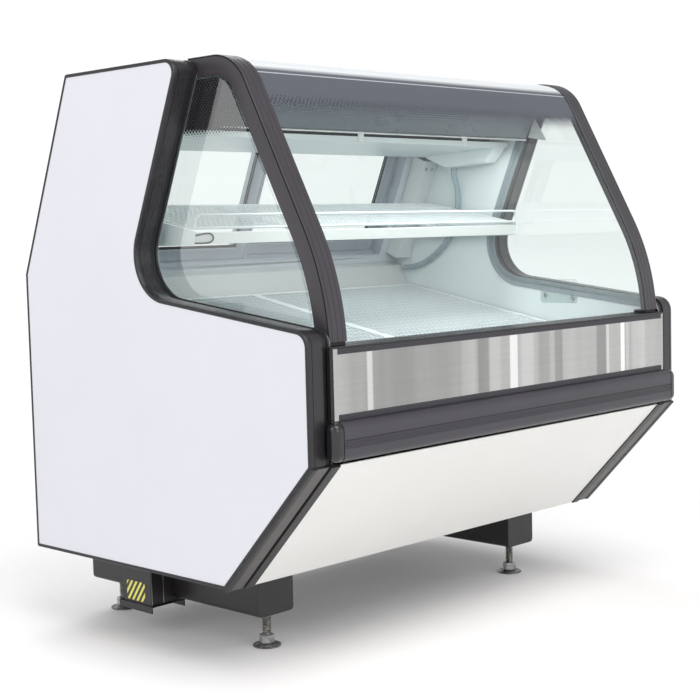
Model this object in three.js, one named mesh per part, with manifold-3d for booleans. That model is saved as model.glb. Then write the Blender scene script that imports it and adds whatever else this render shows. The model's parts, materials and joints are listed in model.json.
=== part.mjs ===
// Refrigerated deli case with a lift-up curved front glass, 1.3 m wide.
// Millimetres, +X to the customer's right, +Y to the rear, +Z up. The floor is z = 0.
import * as THREE from "three";
import { mergeVertices } from "three/addons/utils/BufferGeometryUtils.js";
import Module from "manifold-3d";

const wasm = await Module();
wasm.setup();

// ---------------------------------------------------------------- driving dimensions
// Depths are measured rearwards from the front face of the end walls.
const caseWidth = 1300;
const wallThickness = 60;
const wallDepth = 947;
const wallBottom = 184;
const wallTop = 1283;
const rearKinkHeight = 835;
const rearTopDepth = 757; // the rear face leans forward above the kink
const windowSillDepth = 564; // corner of the side window, low and to the rear
const windowSillHeight = 798;
const windowTopDepth = 357;
const frontCornerHeight = 726;
const noseHeight = 462; // where the vertical front turns back under the case
const lowerFrontDepth = 264;
const bumperDepth = 34;
const fit = 0.3; // clearance between neighbours
const edgeLip = 4;
const windowFlange = 24;

const glassThickness = 5;
const archWidth = 49;
const archDepth = 42;
const archFlange = 9; // thickness of the arch's front and outer flanges
const archOuter = 586; // half the width over the two arches
const canopyTop = 1288;
const canopyRear = 405;
const canopyFoot = 702;
const hingeDepth = 412;
const hingeHeight = 1281;

const deckSlope = Math.atan(0.1965);
const deckFrontDepth = 64;
const deckFrontHeight = 606;
const deckLength = 782;
const deckSplit = -40; // where the two deck pans meet, a little left of the middle
const panDepth = 40;

const railOuter = 495;
const railInner = 390;
const railBottom = 78;
const railFrontDepth = 335;
const footAcross = 440;
const footDepths = { front: 372, rear: 895 };

const halfWidth = caseWidth / 2;
const wallInner = halfWidth - wallThickness;
const clearHalf = wallInner - fit;
const caseMiddle = (wallDepth - bumperDepth) / 2;

// ---------------------------------------------------------------- materials
const finish = (color, roughness, metalness = 0) =>
  new THREE.MeshStandardMaterial({ color, roughness, metalness });
const whitePaint = finish(0xe9eaee, 0.35);
const warmWhitePaint = finish(0xe8e7e4, 0.35);
const linerWhite = finish(0xd8dfdf, 0.4);
const blackTrim = finish(0x2a282c, 0.4);
const charcoalTrim = finish(0x4e4c52, 0.45);
const blackSteel = finish(0x343134, 0.5, 0.3);
const stainless = finish(0xb4b4b2, 0.28, 0.9);
const zinc = finish(0xa5a49f, 0.35, 0.8);
const aluminium = finish(0x7d838c, 0.4, 0.6);
const greyPaint = finish(0x87919b, 0.45);
const rubber = finish(0x1b1b1d, 0.7);
const lampWhite = finish(0xf4f6f4, 0.5);
const shelfWhite = finish(0xe6ecea, 0.45);
const glass = new THREE.MeshStandardMaterial({
  color: 0xdfeeea, roughness: 0.05, metalness: 0, transparent: true, opacity: 0.35,
});

// ---------------------------------------------------------------- helpers
const cabinet = new THREE.Group();
cabinet.position.y = -caseMiddle;

function add(name, geometry, material, parent = cabinet) {
  const mesh = new THREE.Mesh(geometry, material);
  mesh.name = name;
  parent.add(mesh);
  return mesh;
}

// Runs maker(sign, side) once for each end of the case.
function bothEnds(maker) {
  maker(-1, "left");
  maker(1, "right");
}

function solidOf(geometry) {
  const bare = geometry.index ? geometry.toNonIndexed() : geometry.clone();
  bare.deleteAttribute("normal");
  bare.deleteAttribute("uv");
  const merged = mergeVertices(bare, 1e-3);
  return new wasm.Manifold(new wasm.Mesh({
    numProp: 3,
    vertProperties: merged.attributes.position.array,
    triVerts: new Uint32Array(merged.index.array),
  }));
}

function geometryOf(solid) {
  const mesh = solid.getMesh();
  const geometry = new THREE.BufferGeometry();
  geometry.setAttribute("position", new THREE.BufferAttribute(mesh.vertProperties, 3));
  geometry.setIndex(new THREE.BufferAttribute(mesh.triVerts, 1));
  return geometry;
}

const join = (...shapes) =>
  geometryOf(shapes.map(solidOf).reduce((whole, piece) => whole.add(piece)));
const cut = (shape, ...cutters) =>
  geometryOf(cutters.map(solidOf).reduce((whole, piece) => whole.subtract(piece), solidOf(shape)));
const common = (shape, other) => geometryOf(solidOf(shape).intersect(solidOf(other)));

function box(x, y, z) {
  const size = [x, y, z].map(([low, high]) => Math.abs(high - low));
  const middle = [x, y, z].map(([low, high]) => (low + high) / 2);
  return new THREE.BoxGeometry(...size).translate(...middle);
}

// A cylinder whose axis is "x", "y" or "z", centred on a point.
function rod(axis, radius, length, centre, sides = 20) {
  const geometry = new THREE.CylinderGeometry(radius, radius, length, sides);
  if (axis === "x") geometry.rotateZ(Math.PI / 2);
  if (axis === "z") geometry.rotateX(Math.PI / 2);
  return geometry.translate(...centre);
}

// Points along a path of corners [a, b, radius], each corner rounded by an arc.
// A positive inset moves the path to the left of its direction of travel.
function roundedPath(corners, inset = 0, closed = false) {
  const chordError = 0.2;
  const points = corners.map(([a, b]) => new THREE.Vector2(a, b));
  const count = points.length;
  const edgeCount = closed ? count : count - 1;
  const directions = [];
  for (let i = 0; i < edgeCount; i++) {
    directions.push(points[(i + 1) % count].clone().sub(points[i]).normalize());
  }
  const sideways = (i) => new THREE.Vector2(-directions[i].y, directions[i].x).multiplyScalar(inset);
  const path = [];
  if (!closed) path.push(points[0].clone().add(sideways(0)));
  for (let i = closed ? 0 : 1; i < (closed ? count : count - 1); i++) {
    const before = directions[(i - 1 + edgeCount) % edgeCount];
    const after = directions[i];
    const turn = Math.atan2(before.cross(after), before.dot(after));
    const shift = inset * Math.tan(turn / 2);
    const corner = points[i].clone()
      .add(sideways((i - 1 + edgeCount) % edgeCount))
      .addScaledVector(before, -shift);
    const radius = (corners[i][2] ?? 0) - inset * Math.sign(turn);
    if (radius < 0.5) {
      path.push(corner);
      continue;
    }
    const reach = radius * Math.tan(Math.abs(turn) / 2);
    const start = corner.clone().addScaledVector(before, -reach);
    const centre = start.clone().addScaledVector(
      new THREE.Vector2(-before.y, before.x), radius * Math.sign(turn));
    const largestStep = 2 * Math.acos(1 - chordError / Math.max(radius, 1));
    const steps = Math.max(2, Math.ceil(Math.abs(turn) / largestStep));
    for (let s = 0; s <= steps; s++) {
      path.push(start.clone().rotateAround(centre, (turn * s) / steps));
    }
  }
  if (!closed) path.push(points[count - 1].clone().add(sideways(edgeCount - 1)));
  return path;
}

// The closed outline between two insets of one open path.
const band = (corners, inner, outer) => [
  ...roundedPath(corners, inner),
  ...roundedPath(corners, outer).reverse(),
];

function extrude(points, length, holes = []) {
  const shape = new THREE.Shape(points);
  shape.holes = holes.map((hole) => new THREE.Path(hole));
  return new THREE.ExtrudeGeometry(shape, { depth: length, bevelEnabled: false });
}

// Extrudes a side-view outline of [depth, height] points across the case.
function acrossX(points, from, to, holes = []) {
  const low = Math.min(from, to);
  const sideView = new THREE.Matrix4().makeBasis(
    new THREE.Vector3(0, 1, 0), new THREE.Vector3(0, 0, 1), new THREE.Vector3(1, 0, 0));
  return extrude(points, Math.abs(to - from), holes).applyMatrix4(sideView).translate(low, 0, 0);
}

// Extrudes a front-view outline of [x, z] points from one depth to another.
function alongY(points, from, to, holes = []) {
  const frontView = new THREE.Matrix4().makeBasis(
    new THREE.Vector3(1, 0, 0), new THREE.Vector3(0, 0, 1), new THREE.Vector3(0, -1, 0));
  return extrude(points, to - from, holes).applyMatrix4(frontView).translate(0, to, 0);
}

const vectors = (pairs) => pairs.map(([a, b]) => new THREE.Vector2(a, b));

function tube(route, radius, steps, sides = 8) {
  const section = [];
  for (let i = 0; i < sides; i++) {
    const angle = (2 * Math.PI * i) / sides;
    section.push(new THREE.Vector2(radius * Math.cos(angle), radius * Math.sin(angle)));
  }
  const curve = new THREE.CatmullRomCurve3(route.map((point) => new THREE.Vector3(...point)));
  return new THREE.ExtrudeGeometry(new THREE.Shape(section), { steps, extrudePath: curve });
}

// ---------------------------------------------------------------- outlines seen from the side
const wallCorners = [
  [0, noseHeight, 6],
  [lowerFrontDepth, wallBottom, 4],
  [wallDepth, wallBottom, 6],
  [wallDepth, rearKinkHeight, 10],
  [rearTopDepth, wallTop, 8],
  [windowTopDepth, wallTop, 30],
  [windowSillDepth, windowSillHeight, 95],
  [0, frontCornerHeight, 35],
];
const wallOutline = (inset) => roundedPath(wallCorners, inset, true);

// Outside of the lift-up front: flat top, tight bend, sloping front, slow curve to the sill.
const canopyCorners = [
  [canopyRear, canopyTop],
  [258, canopyTop, 110],
  [10.4, 821.6, 550],
  [3.2, canopyFoot],
];

// The rear doorway leans forward. Its own axes run out of the rear slope and up along it.
const rearLean = Math.atan2(wallDepth - rearTopDepth, wallTop - rearKinkHeight);
const slopeLength = Math.hypot(wallDepth - rearTopDepth, wallTop - rearKinkHeight);
const frameInner = -58;
const frameOuter = -6;
const frameBottom = 12;
const frameTop = slopeLength - 5;
const leanPoint = (outwards, up) => [
  wallDepth + outwards * Math.cos(rearLean) - up * Math.sin(rearLean),
  rearKinkHeight + outwards * Math.sin(rearLean) + up * Math.cos(rearLean),
];

// ---------------------------------------------------------------- end walls
function endWall(sign, side) {
  const outer = sign * halfWidth;
  const inner = sign * wallInner;
  const skinOuter = outer - sign * 0.6;
  const skinInner = skinOuter - sign * 1.2;
  const panelOutline = wallOutline(edgeLip + fit);
  add(`end_wall_${side}`, acrossX(panelOutline, inner, skinInner - sign * fit), linerWhite);
  add(`end_skin_${side}`, acrossX(panelOutline, skinInner, skinOuter), whitePaint);

  // The black edging runs all round the wall and folds over its inner face beside the window.
  const flangeFace = inner - sign * 2;
  const rim = acrossX(wallOutline(0), inner, outer, [wallOutline(edgeLip)]);
  const flangeRing = acrossX(wallOutline(0), flangeFace, inner - sign * fit, [wallOutline(windowFlange)]);
  const flangeRoot = acrossX(wallOutline(0), flangeFace, inner + sign * 2, [wallOutline(edgeLip)]);
  const windowZone = box([-700, 700], [-5, 600], [700, 1256]);
  const flange = common(join(flangeRing, flangeRoot), windowZone);
  add(`edge_band_${side}`, join(rim, flange), blackTrim);
}

// Aluminium profile that covers the slanted lower front edge of each end wall.
function cornerProfile(sign, side) {
  const section = vectors([
    [0, fit], [0, 6], [9, 6], [9, 4.5], [30, 4.5], [30, 6],
    [43, 6], [43, 3], [48, 3], [48, 7], [77, 7], [77, fit],
  ].map(([across, out]) => [sign * (halfWidth - across), out]));
  add(`corner_profile_${side}`, downLowerFront(section, 2, 2), charcoalTrim);
}

// Extrudes an [x, outwards] section down the slanted lower front, with a spare length at each end.
function downLowerFront(section, above, below) {
  const run = new THREE.Vector3(0, lowerFrontDepth, wallBottom - noseHeight);
  const length = run.length();
  const along = run.clone().normalize();
  const outwards = new THREE.Vector3(0, along.z, -along.y);
  const frame = new THREE.Matrix4().makeBasis(new THREE.Vector3(1, 0, 0), outwards, along);
  frame.setPosition(new THREE.Vector3(0, 0, noseHeight).addScaledVector(along, -above));
  return extrude(section, length + above + below).applyMatrix4(frame);
}

bothEnds(endWall);
bothEnds(cornerProfile);

// ---------------------------------------------------------------- insulated body between the walls
const tubFront = 2;
const tubCeiling = 672;
const tubRearInside = 850;
const deckHeightAt = (depth) => deckFrontHeight + (depth - deckFrontDepth) * Math.tan(deckSlope);
const floorDrop = (panDepth + 2) / Math.cos(deckSlope);

add("insulated_tub", acrossX(vectors([
  [tubFront, 471],
  [tubFront + 56, 471],
  [wallDepth - 3, 640],
  [wallDepth - 3, rearKinkHeight - 2],
  leanPoint(frameOuter, frameBottom - fit),
  leanPoint(frameInner - 22, frameBottom - fit),
  [tubRearInside, deckHeightAt(tubRearInside) + 4],
  [tubRearInside, deckHeightAt(tubRearInside) - floorDrop],
  [tubFront + 56, deckHeightAt(tubFront + 56) - floorDrop],
  [tubFront + 56, tubCeiling],
  [tubFront, tubCeiling],
]), -clearHalf, clearHalf), linerWhite);

add("lower_front_panel", downLowerFront(vectors([
  [-572.5, 2], [572.5, 2], [572.5, 4.2], [-572.5, 4.2],
]), 2, 2), warmWhitePaint);

const coverFront = hingeDepth + 7;
const coverSeat = leanPoint(frameInner + 18, frameTop + fit);
const coverRear = leanPoint(frameOuter, frameTop + fit);
add("top_cover", acrossX(vectors([
  [coverFront, coverSeat[1]],
  coverSeat,
  coverRear,
  [coverRear[0], wallTop - 1],
  [coverFront, wallTop - 1],
]), -clearHalf, clearHalf), whitePaint);

// Machine floor, with its rear edge turned up.
const machineFloorTop = wallBottom + 2.5;
add("machine_floor", acrossX(vectors([
  [lowerFrontDepth + 12, wallBottom],
  [wallDepth - 5, wallBottom],
  [wallDepth - 5, wallBottom + 22],
  [wallDepth - 7, wallBottom + 22],
  [wallDepth - 7, machineFloorTop],
  [lowerFrontDepth + 12, machineFloorTop],
]), -clearHalf, clearHalf), blackSteel);

// ---------------------------------------------------------------- rear grille and controls
const grilleDepth = 915;
const grilleTop = 628;
const grilleBottom = wallBottom + 4;
const slotPitch = 26;

function rearGrille() {
  const plate = box([-clearHalf, clearHalf], [grilleDepth, grilleDepth + 1.5], [grilleBottom, grilleTop]);
  const slots = [];
  for (let row = 0; row < 11; row++) {
    const height = grilleBottom + 60 + row * slotPitch;
    for (const start of [-500, -260]) {
      slots.push(box([start, start + 200], [grilleDepth - 5, grilleDepth + 5], [height, height + 10]));
    }
  }
  add("rear_grille", cut(plate, ...slots), whitePaint);
}
rearGrille();

const controlX = 330;
const controlZ = 560;
const controlFace = grilleDepth + 10;
add("control_panel", box([controlX - 90, controlX + 90], [grilleDepth + 1.8, controlFace],
  [controlZ - 38, controlZ + 38]), blackTrim);
add("thermostat_knob", join(
  rod("y", 19, 12, [controlX + 45, controlFace + 6.5, controlZ], 24),
  box([controlX + 42, controlX + 48], [controlFace + 12, controlFace + 17], [controlZ - 17, controlZ + 17]),
), charcoalTrim);
const rockerZ = controlZ;
const rockerX = controlX - 45;
const rockerAxis = controlFace + 4;
add("lamp_switch", acrossX(vectors([
  [rockerAxis - 2, rockerZ - 13], [rockerAxis + 2.5, rockerZ - 13], [rockerAxis + 4.5, rockerZ],
  [rockerAxis + 2.5, rockerZ + 13], [rockerAxis - 2, rockerZ + 13], [rockerAxis - 3.4, rockerZ],
]), rockerX - 9, rockerX + 9), rubber);

// ---------------------------------------------------------------- front trim
const bandBottom = 549;
const bandTop = 690;
const bandProud = 11;
const sillTop = 694;
const trimHalf = 600;

add("front_band", acrossX(vectors([
  [-bandProud, bandBottom], [-fit, bandBottom], [-fit, bandTop], [-bandProud, bandTop],
]), -trimHalf, trimHalf), stainless);

add("front_sill", join(
  acrossX(vectors([
    [-1, bandTop + fit], [tubFront + 1, bandTop + fit], [tubFront + 1, tubCeiling + fit],
    [64, tubCeiling + fit], [64, sillTop - 5], [59, sillTop], [-1, sillTop],
  ]), -clearHalf, clearHalf),
  box([-trimHalf, trimHalf], [-bandProud - 1, -fit], [bandTop + fit, sillTop]),
), blackTrim);

// Bumper rail: a section with round corners, between two end caps.
const bumperBottom = 470;
const bumperTop = 548;
const bumperHalfLength = 590;
const bumperCapReach = 24;
const bumperRadius = 16;
const bumperCorners = [
  [-fit, bumperBottom, bumperRadius],
  [-fit, bumperTop, bumperRadius],
  [-bumperDepth, bumperTop, bumperRadius],
  [-bumperDepth, bumperBottom, bumperRadius],
];
const bumperOutline = roundedPath(bumperCorners, 0, true);
add("front_bumper",
  acrossX(bumperOutline, -bumperHalfLength + fit, bumperHalfLength - fit), charcoalTrim);

function bumperCap(sign, side) {
  const start = sign * bumperHalfLength;
  const end = sign * (bumperHalfLength + bumperCapReach);
  const block = acrossX(bumperOutline, start, end);
  const plan = roundedPath([
    [start, -fit], [end, -fit, 8], [end, -bumperDepth, 14], [start, -bumperDepth],
  ], 0, true);
  const planBlock = extrude(plan, bumperTop - bumperBottom).translate(0, 0, bumperBottom);
  add(`bumper_cap_${side}`, common(block, planBlock), charcoalTrim);
}
bothEnds(bumperCap);

// ---------------------------------------------------------------- lift-up front glass
const glassInset = 3;
const archInner = archOuter - archWidth;

add("front_glass", acrossX(
  band(canopyCorners, glassInset, glassInset + glassThickness), -archInner + fit, archInner - fit), glass);

// L section: a face beside the glass, and a flange that runs back from its outer edge.
function arch(sign, side) {
  const outer = sign * archOuter;
  const front = acrossX(band(canopyCorners, 0, archFlange), sign * archInner, outer);
  const flank = acrossX(band(canopyCorners, 0, archDepth), outer - sign * archFlange, outer);
  add(`arch_${side}`, join(front, flank), charcoalTrim);
}
bothEnds(arch);

// The rail under the rear edge of the glass ends in a hook that turns on the hinge rod.
const hingeRodRadius = 4;
function canopyTopRail() {
  const railUnder = canopyTop - archDepth + 18;
  const railOver = canopyTop - glassInset - glassThickness - fit;
  const half = archInner - fit;
  const bar = box([-half, half], [canopyRear - 26, canopyRear], [railUnder, railOver]);
  const arm = box([-half, half], [canopyRear - 1, hingeDepth], [railUnder + 3, railUnder + 6]);
  const hook = [];
  const hookInner = hingeRodRadius + 1;
  const hookOuter = hingeRodRadius + 2;
  const arcPoint = (radius, degrees) => {
    const angle = THREE.MathUtils.degToRad(degrees);
    return [hingeDepth + radius * Math.cos(angle), hingeHeight + radius * Math.sin(angle)];
  };
  for (let degrees = 0; degrees <= 180; degrees += 22.5) hook.push(arcPoint(hookOuter, degrees));
  hook.push([hingeDepth - hookOuter, railUnder + 3], [hingeDepth - hookInner, railUnder + 3]);
  for (let degrees = 180; degrees >= 0; degrees -= 22.5) hook.push(arcPoint(hookInner, degrees));
  add("canopy_top_rail", join(bar, arm, acrossX(vectors(hook), -half, half)), aluminium);
}
canopyTopRail();

add("hinge_rod", rod("x", hingeRodRadius, 2 * clearHalf, [0, hingeDepth, hingeHeight], 16), blackSteel);

// ---------------------------------------------------------------- fixed side glasses
function sideGlass(sign, side) {
  const slope = (windowSillDepth - windowTopDepth) / (wallTop - windowSillHeight);
  const topHeight = 1236;
  const frontDepth = 62;
  const rearEdge = roundedPath([
    [windowTopDepth + slope * (wallTop - topHeight), topHeight],
    [windowSillDepth, windowSillHeight, 95],
    [frontDepth, frontCornerHeight + ((windowSillHeight - frontCornerHeight) * frontDepth) / windowSillDepth],
  ], 14);
  const frontEdge = roundedPath(canopyCorners, archDepth + 4)
    .filter((point) => point.y > frontCornerHeight + 2 && point.x < windowTopDepth - 20);
  const outer = sign * (wallInner - 2.5);
  add(`side_glass_${side}`,
    acrossX([...rearEdge, ...frontEdge.reverse()], outer, outer - sign * glassThickness), glass);
}
bothEnds(sideGlass);

// ---------------------------------------------------------------- sliding rear doors
// Built flat in a leaning frame: local z runs up the rear slope, local y points out of it.
const doorway = new THREE.Group();
doorway.position.set(0, wallDepth, rearKinkHeight);
doorway.rotation.x = rearLean;
cabinet.add(doorway);

const openingLeft = -560;
const openingRight = 504;
const openingBottom = frameBottom + 18;
const openingTop = frameTop - 21;
const doorOverlap = 34;
const doorStile = 42;
const doorThickness = 15;
const ribHeight = 9;
const ribThickness = 5;
const ribFaces = [frameInner, -34.5, -11]; // the doors run in the two tracks between these ribs
const tracks = { left: -51, right: -28 }; // inner face of each door

function doorFrame() {
  const outside = vectors([
    [-clearHalf, frameBottom], [clearHalf, frameBottom], [clearHalf, frameTop], [-clearHalf, frameTop],
  ]);
  const opening = vectors([
    [openingLeft, openingBottom], [openingRight, openingBottom],
    [openingRight, openingTop], [openingLeft, openingTop],
  ]);
  const ring = alongY(outside, frameInner, frameOuter, [opening]);
  const ribs = [];
  for (const face of ribFaces) {
    const across = [openingLeft - 1, openingRight + 1];
    const deep = [face, face + ribThickness];
    ribs.push(box(across, deep, [openingBottom - 1, openingBottom + ribHeight]));
    ribs.push(box(across, deep, [openingTop - ribHeight, openingTop + 1]));
  }
  add("door_frame", join(ring, ...ribs), aluminium, doorway);
}
doorFrame();

function slidingDoor(side) {
  const middle = (openingLeft + openingRight) / 2;
  const left = side === "left" ? openingLeft + 2 : middle - doorOverlap / 2;
  const right = side === "left" ? middle + doorOverlap / 2 : openingRight - 2;
  const face = tracks[side];
  const bottom = openingBottom + 1;
  const top = openingTop - 1;
  const rim = (inset) => vectors([
    [left + inset, bottom + inset], [right - inset, bottom + inset],
    [right - inset, top - inset], [left + inset, top - inset],
  ]);
  add(`door_${side}_frame`,
    alongY(rim(0), face, face + doorThickness, [rim(doorStile)]), aluminium, doorway);
  add(`door_${side}_glass`, alongY(rim(doorStile + fit), face + 5, face + 10), glass, doorway);
}
slidingDoor("left");
slidingDoor("right");

// Uprights that carry the shelf, and the drain on the right-hand one.
const pilasterDepth = 44;
function pilaster(sign, side, width) {
  const outer = sign * clearHalf;
  const rearFace = frameInner - fit;
  add(`pilaster_${side}`,
    box([outer, outer - sign * width], [rearFace - pilasterDepth, rearFace], [44, 340]), greyPaint, doorway);
}
pilaster(-1, "left", 28);
pilaster(1, "right", 60);

// ---------------------------------------------------------------- deck pans
const deck = new THREE.Group();
deck.position.set(0, deckFrontDepth, deckFrontHeight);
deck.rotation.x = deckSlope;
cabinet.add(deck);

function deckPan(side, left, right) {
  const sheet = 2.5;
  add(`deck_pan_${side}`, cut(
    box([left, right], [0, deckLength], [-panDepth, 0]),
    box([left + sheet, right - sheet], [sheet, deckLength - sheet], [-panDepth - 1, -sheet]),
  ), shelfWhite, deck);
}
deckPan("left", -clearHalf + 10, deckSplit - 0.5);
deckPan("right", deckSplit + 0.5, clearHalf - 10);

// ---------------------------------------------------------------- hanging shelf
const shelfFrontDepth = 436;
const shelfFrontHeight = 932;
const shelfLength = 306;
const shelfHalf = 566;
const shelf = new THREE.Group();
shelf.position.set(0, shelfFrontDepth, shelfFrontHeight);
shelf.rotation.x = deckSlope;
cabinet.add(shelf);

add("shelf_panel", box([-shelfHalf, shelfHalf], [0, shelfLength], [-3, 0]), shelfWhite, shelf);

// Two white guard wires, joined and turned down at the ends.
function shelfGuard() {
  const wireRadius = 3;
  const reach = shelfHalf - 4;
  const upright = (sign) => rod("z", wireRadius, 34, [sign * reach, -6, 15], 8);
  add("shelf_guard", join(
    rod("x", wireRadius, 2 * reach + 2, [0, -6, 30], 8),
    rod("x", wireRadius, 2 * reach + 2, [0, -6, 1], 8),
    upright(-1), upright(1),
  ), shelfWhite, shelf);
}
shelfGuard();

add("shelf_channel", acrossX(vectors([
  [-10, -8], [-10, -34], [22, -34], [22, -32], [-6, -30], [-6, -8],
]), -shelfHalf, shelfHalf), lampWhite, shelf);

// End plates that carry the shelf. Their lower edge is level when the shelf slopes.
function shelfBracket(sign, side) {
  const front = -18;
  const rear = shelfLength + 30;
  const frontDrop = 34;
  const plate = vectors([
    [front, -4], [rear, -4], [rear, -frontDrop - (rear - front) * Math.tan(deckSlope)], [front, -frontDrop],
  ]);
  add(`shelf_bracket_${side}`,
    acrossX(plate, sign * (shelfHalf + fit), sign * (shelfHalf + 3)), shelfWhite, shelf);
}
bothEnds(shelfBracket);

// Lead of the shelf lamp: one slack loop, out of the left-hand bracket and back into it.
add("shelf_lamp_cable", tube([
  [-566, -14, -13], [-560, -14, -13], [-548, -14, -11], [-534, -14, -9.5], [-522, -14, -10], [-514, -14, -15],
  [-512, -14, -21], [-516, -14, -27], [-526, -14, -30], [-542, -14, -30.5], [-556, -14, -30.5],
  [-560, -14, -30.5], [-566, -14, -30.5],
], 1.7, 26, 8), rubber, shelf);

// ---------------------------------------------------------------- cooling parts under the top
const coilFront = 492;
const coilRear = 690;
add("evaporator_coil", box([-540, 540], [coilFront, coilRear], [1150, 1236]), aluminium);

// Drip pan with a drain trough along its right-hand end.
const panHalf = 578;
add("drip_pan", join(
  cut(
    acrossX(vectors([[462, 1132], [728, 1119], [728, 1142], [462, 1146]]), -panHalf, panHalf),
    acrossX(vectors([[465, 1135], [725, 1122], [725, 1160], [465, 1160]]), -panHalf + 3, panHalf - 3),
  ),
  acrossX(vectors([[470, 1132.5], [505, 1093], [640, 1086], [660, 1093], [722, 1120.5]]),
    panHalf - 50, panHalf),
), linerWhite);

// The hose drops from the trough beside the shelf, and bends back to the rear wall.
add("drain_hose", tube([
  [563, 640, 1085.3], [563.5, 641, 1068], [569, 641, 1050], [576, 641, 1030], [579, 641, 1000],
  [579, 644, 965], [579, 656, 925], [579, 681, 885], [579, 720, 850], [579, 765, 824],
  [579, 806, 811], [579, 848.5, 806],
], 8.5, 26, 10), glass);

// Lamp hood: bent sheet that follows the front glass, with its lower edge turned back.
const hoodHalf = archInner - 4;
const hoodCorners = [
  [452, 1259],
  [318, 1259, 36],
  [334, 1200, 12],
  [368, 1147, 2],
  [374, 1158],
];
add("lamp_hood", acrossX(band(hoodCorners, 0, 1.6), -hoodHalf, hoodHalf), greyPaint);
add("hood_lamp", rod("x", 13, 1040, [0, 372, 1196], 16), lampWhite);

// ---------------------------------------------------------------- condensing unit
const compressorX = 330;
const compressorDepth = 690;
function compressor() {
  const profile = vectors([
    [0, 0], [70, 0], [70, 6], [92, 10], [96, 70], [96, 120], [88, 168], [62, 198], [0, 206],
  ]);
  const dome = new THREE.LatheGeometry(profile, 28).rotateX(Math.PI / 2);
  const plate = box([-110, 110], [-80, 80], [0, 5]);
  const whole = join(dome, plate).translate(compressorX, compressorDepth, machineFloorTop + fit);
  add("compressor", whole, blackSteel);
}
compressor();

const fanX = -260;
const fanZ = 345;
const condenserDepth = 860;
add("condenser", box([fanX - 170, fanX + 170], [condenserDepth - 45, condenserDepth + 45],
  [machineFloorTop + fit, fanZ + 165]), aluminium);

const fanDepth = 765;
const fanHubHalf = 14;
function condenserFan() {
  const hub = rod("y", 26, 2 * fanHubHalf, [0, 0, 0], 20);
  const pieces = [hub];
  for (let blade = 0; blade < 4; blade++) {
    const sheet = box([18, 122], [-1.25, 1.25], [-34, 34]);
    sheet.rotateX(0.5);
    sheet.rotateY((blade * Math.PI) / 2);
    pieces.push(sheet);
  }
  return join(...pieces);
}
const fanPlace = add("condenser_fan", condenserFan(), aluminium);
fanPlace.position.set(fanX, fanDepth, fanZ);

function fanMotor() {
  const shaftEnd = fanDepth - fanHubHalf - fit;
  const bodyFront = shaftEnd - 6;
  const bodyLength = 70;
  add("fan_motor", join(
    rod("y", 42, bodyLength, [fanX, bodyFront - bodyLength / 2, fanZ], 20),
    rod("y", 5, 8, [fanX, shaftEnd - 4, fanZ], 12),
    box([fanX - 20, fanX + 20], [bodyFront - 60, bodyFront - 32], [machineFloorTop + fit, fanZ - 30]),
  ), blackSteel);
}
fanMotor();

// ---------------------------------------------------------------- base
const railTop = wallBottom - fit;
function baseRail(sign, side) {
  const outline = roundedPath([
    [sign * railInner, railBottom, 10], [sign * railOuter, railBottom, 10],
    [sign * railOuter, railTop], [sign * railInner, railTop],
  ], 0, true);
  add(`base_rail_${side}`, alongY(outline, railFrontDepth, wallDepth - 4), blackSteel);
}
bothEnds(baseRail);

add("base_cross_member", box([-railInner + fit, railInner - fit], [600, 660], [120, railTop]), blackSteel);

function levellingFoot(end, sign, side) {
  const padHeight = 6;
  const padProfile = vectors([[0, 0], [31, 0], [32, 2.5], [22, padHeight], [0, padHeight]]);
  const pad = new THREE.LatheGeometry(padProfile, 28).rotateX(Math.PI / 2);
  const nut = rod("z", 17.3, 22, [0, 0, padHeight + 10], 6);
  const stud = rod("z", 10, railBottom - fit - padHeight, [0, 0, (railBottom - fit + padHeight) / 2], 16);
  const foot = add(`foot_${end}_${side}`, join(pad, nut, stud), zinc);
  foot.position.set(sign * footAcross, footDepths[end], 0);
}
for (const end of ["front", "rear"]) {
  bothEnds((sign, side) => levellingFoot(end, sign, side));
}

// Connection box under the left end, on a flanged plate with down-turned lips.
function connectionBox() {
  const outer = -560;
  const depth = [630, 733];
  const bottom = 68;
  const sheet = 2.5;
  const plateAcross = [outer - 4, -railOuter + 28];
  const plateDepth = [depth[0] - 8, depth[1] + 12];
  const lipHeight = [bottom - 14, bottom + 1];
  add("connection_box", join(
    box([outer, -railOuter - fit], depth, [bottom, railTop]),
    box(plateAcross, plateDepth, [bottom, bottom + sheet]),
    box([plateAcross[0], plateAcross[0] + sheet], plateDepth, lipHeight),
    box([plateAcross[1] - sheet, plateAcross[1]], plateDepth, lipHeight),
  ), blackSteel);
}
connectionBox();

export default cabinet;
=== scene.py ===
"""Looks of the refrigerated deli case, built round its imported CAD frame.

Sizes are millimetres in "case coordinates": x to the customer's right, depth measured
rearwards from the front face of the end walls, height from the floor.
"""
import json
import math

import bmesh
import bpy
from mathutils import Matrix, Vector


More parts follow.
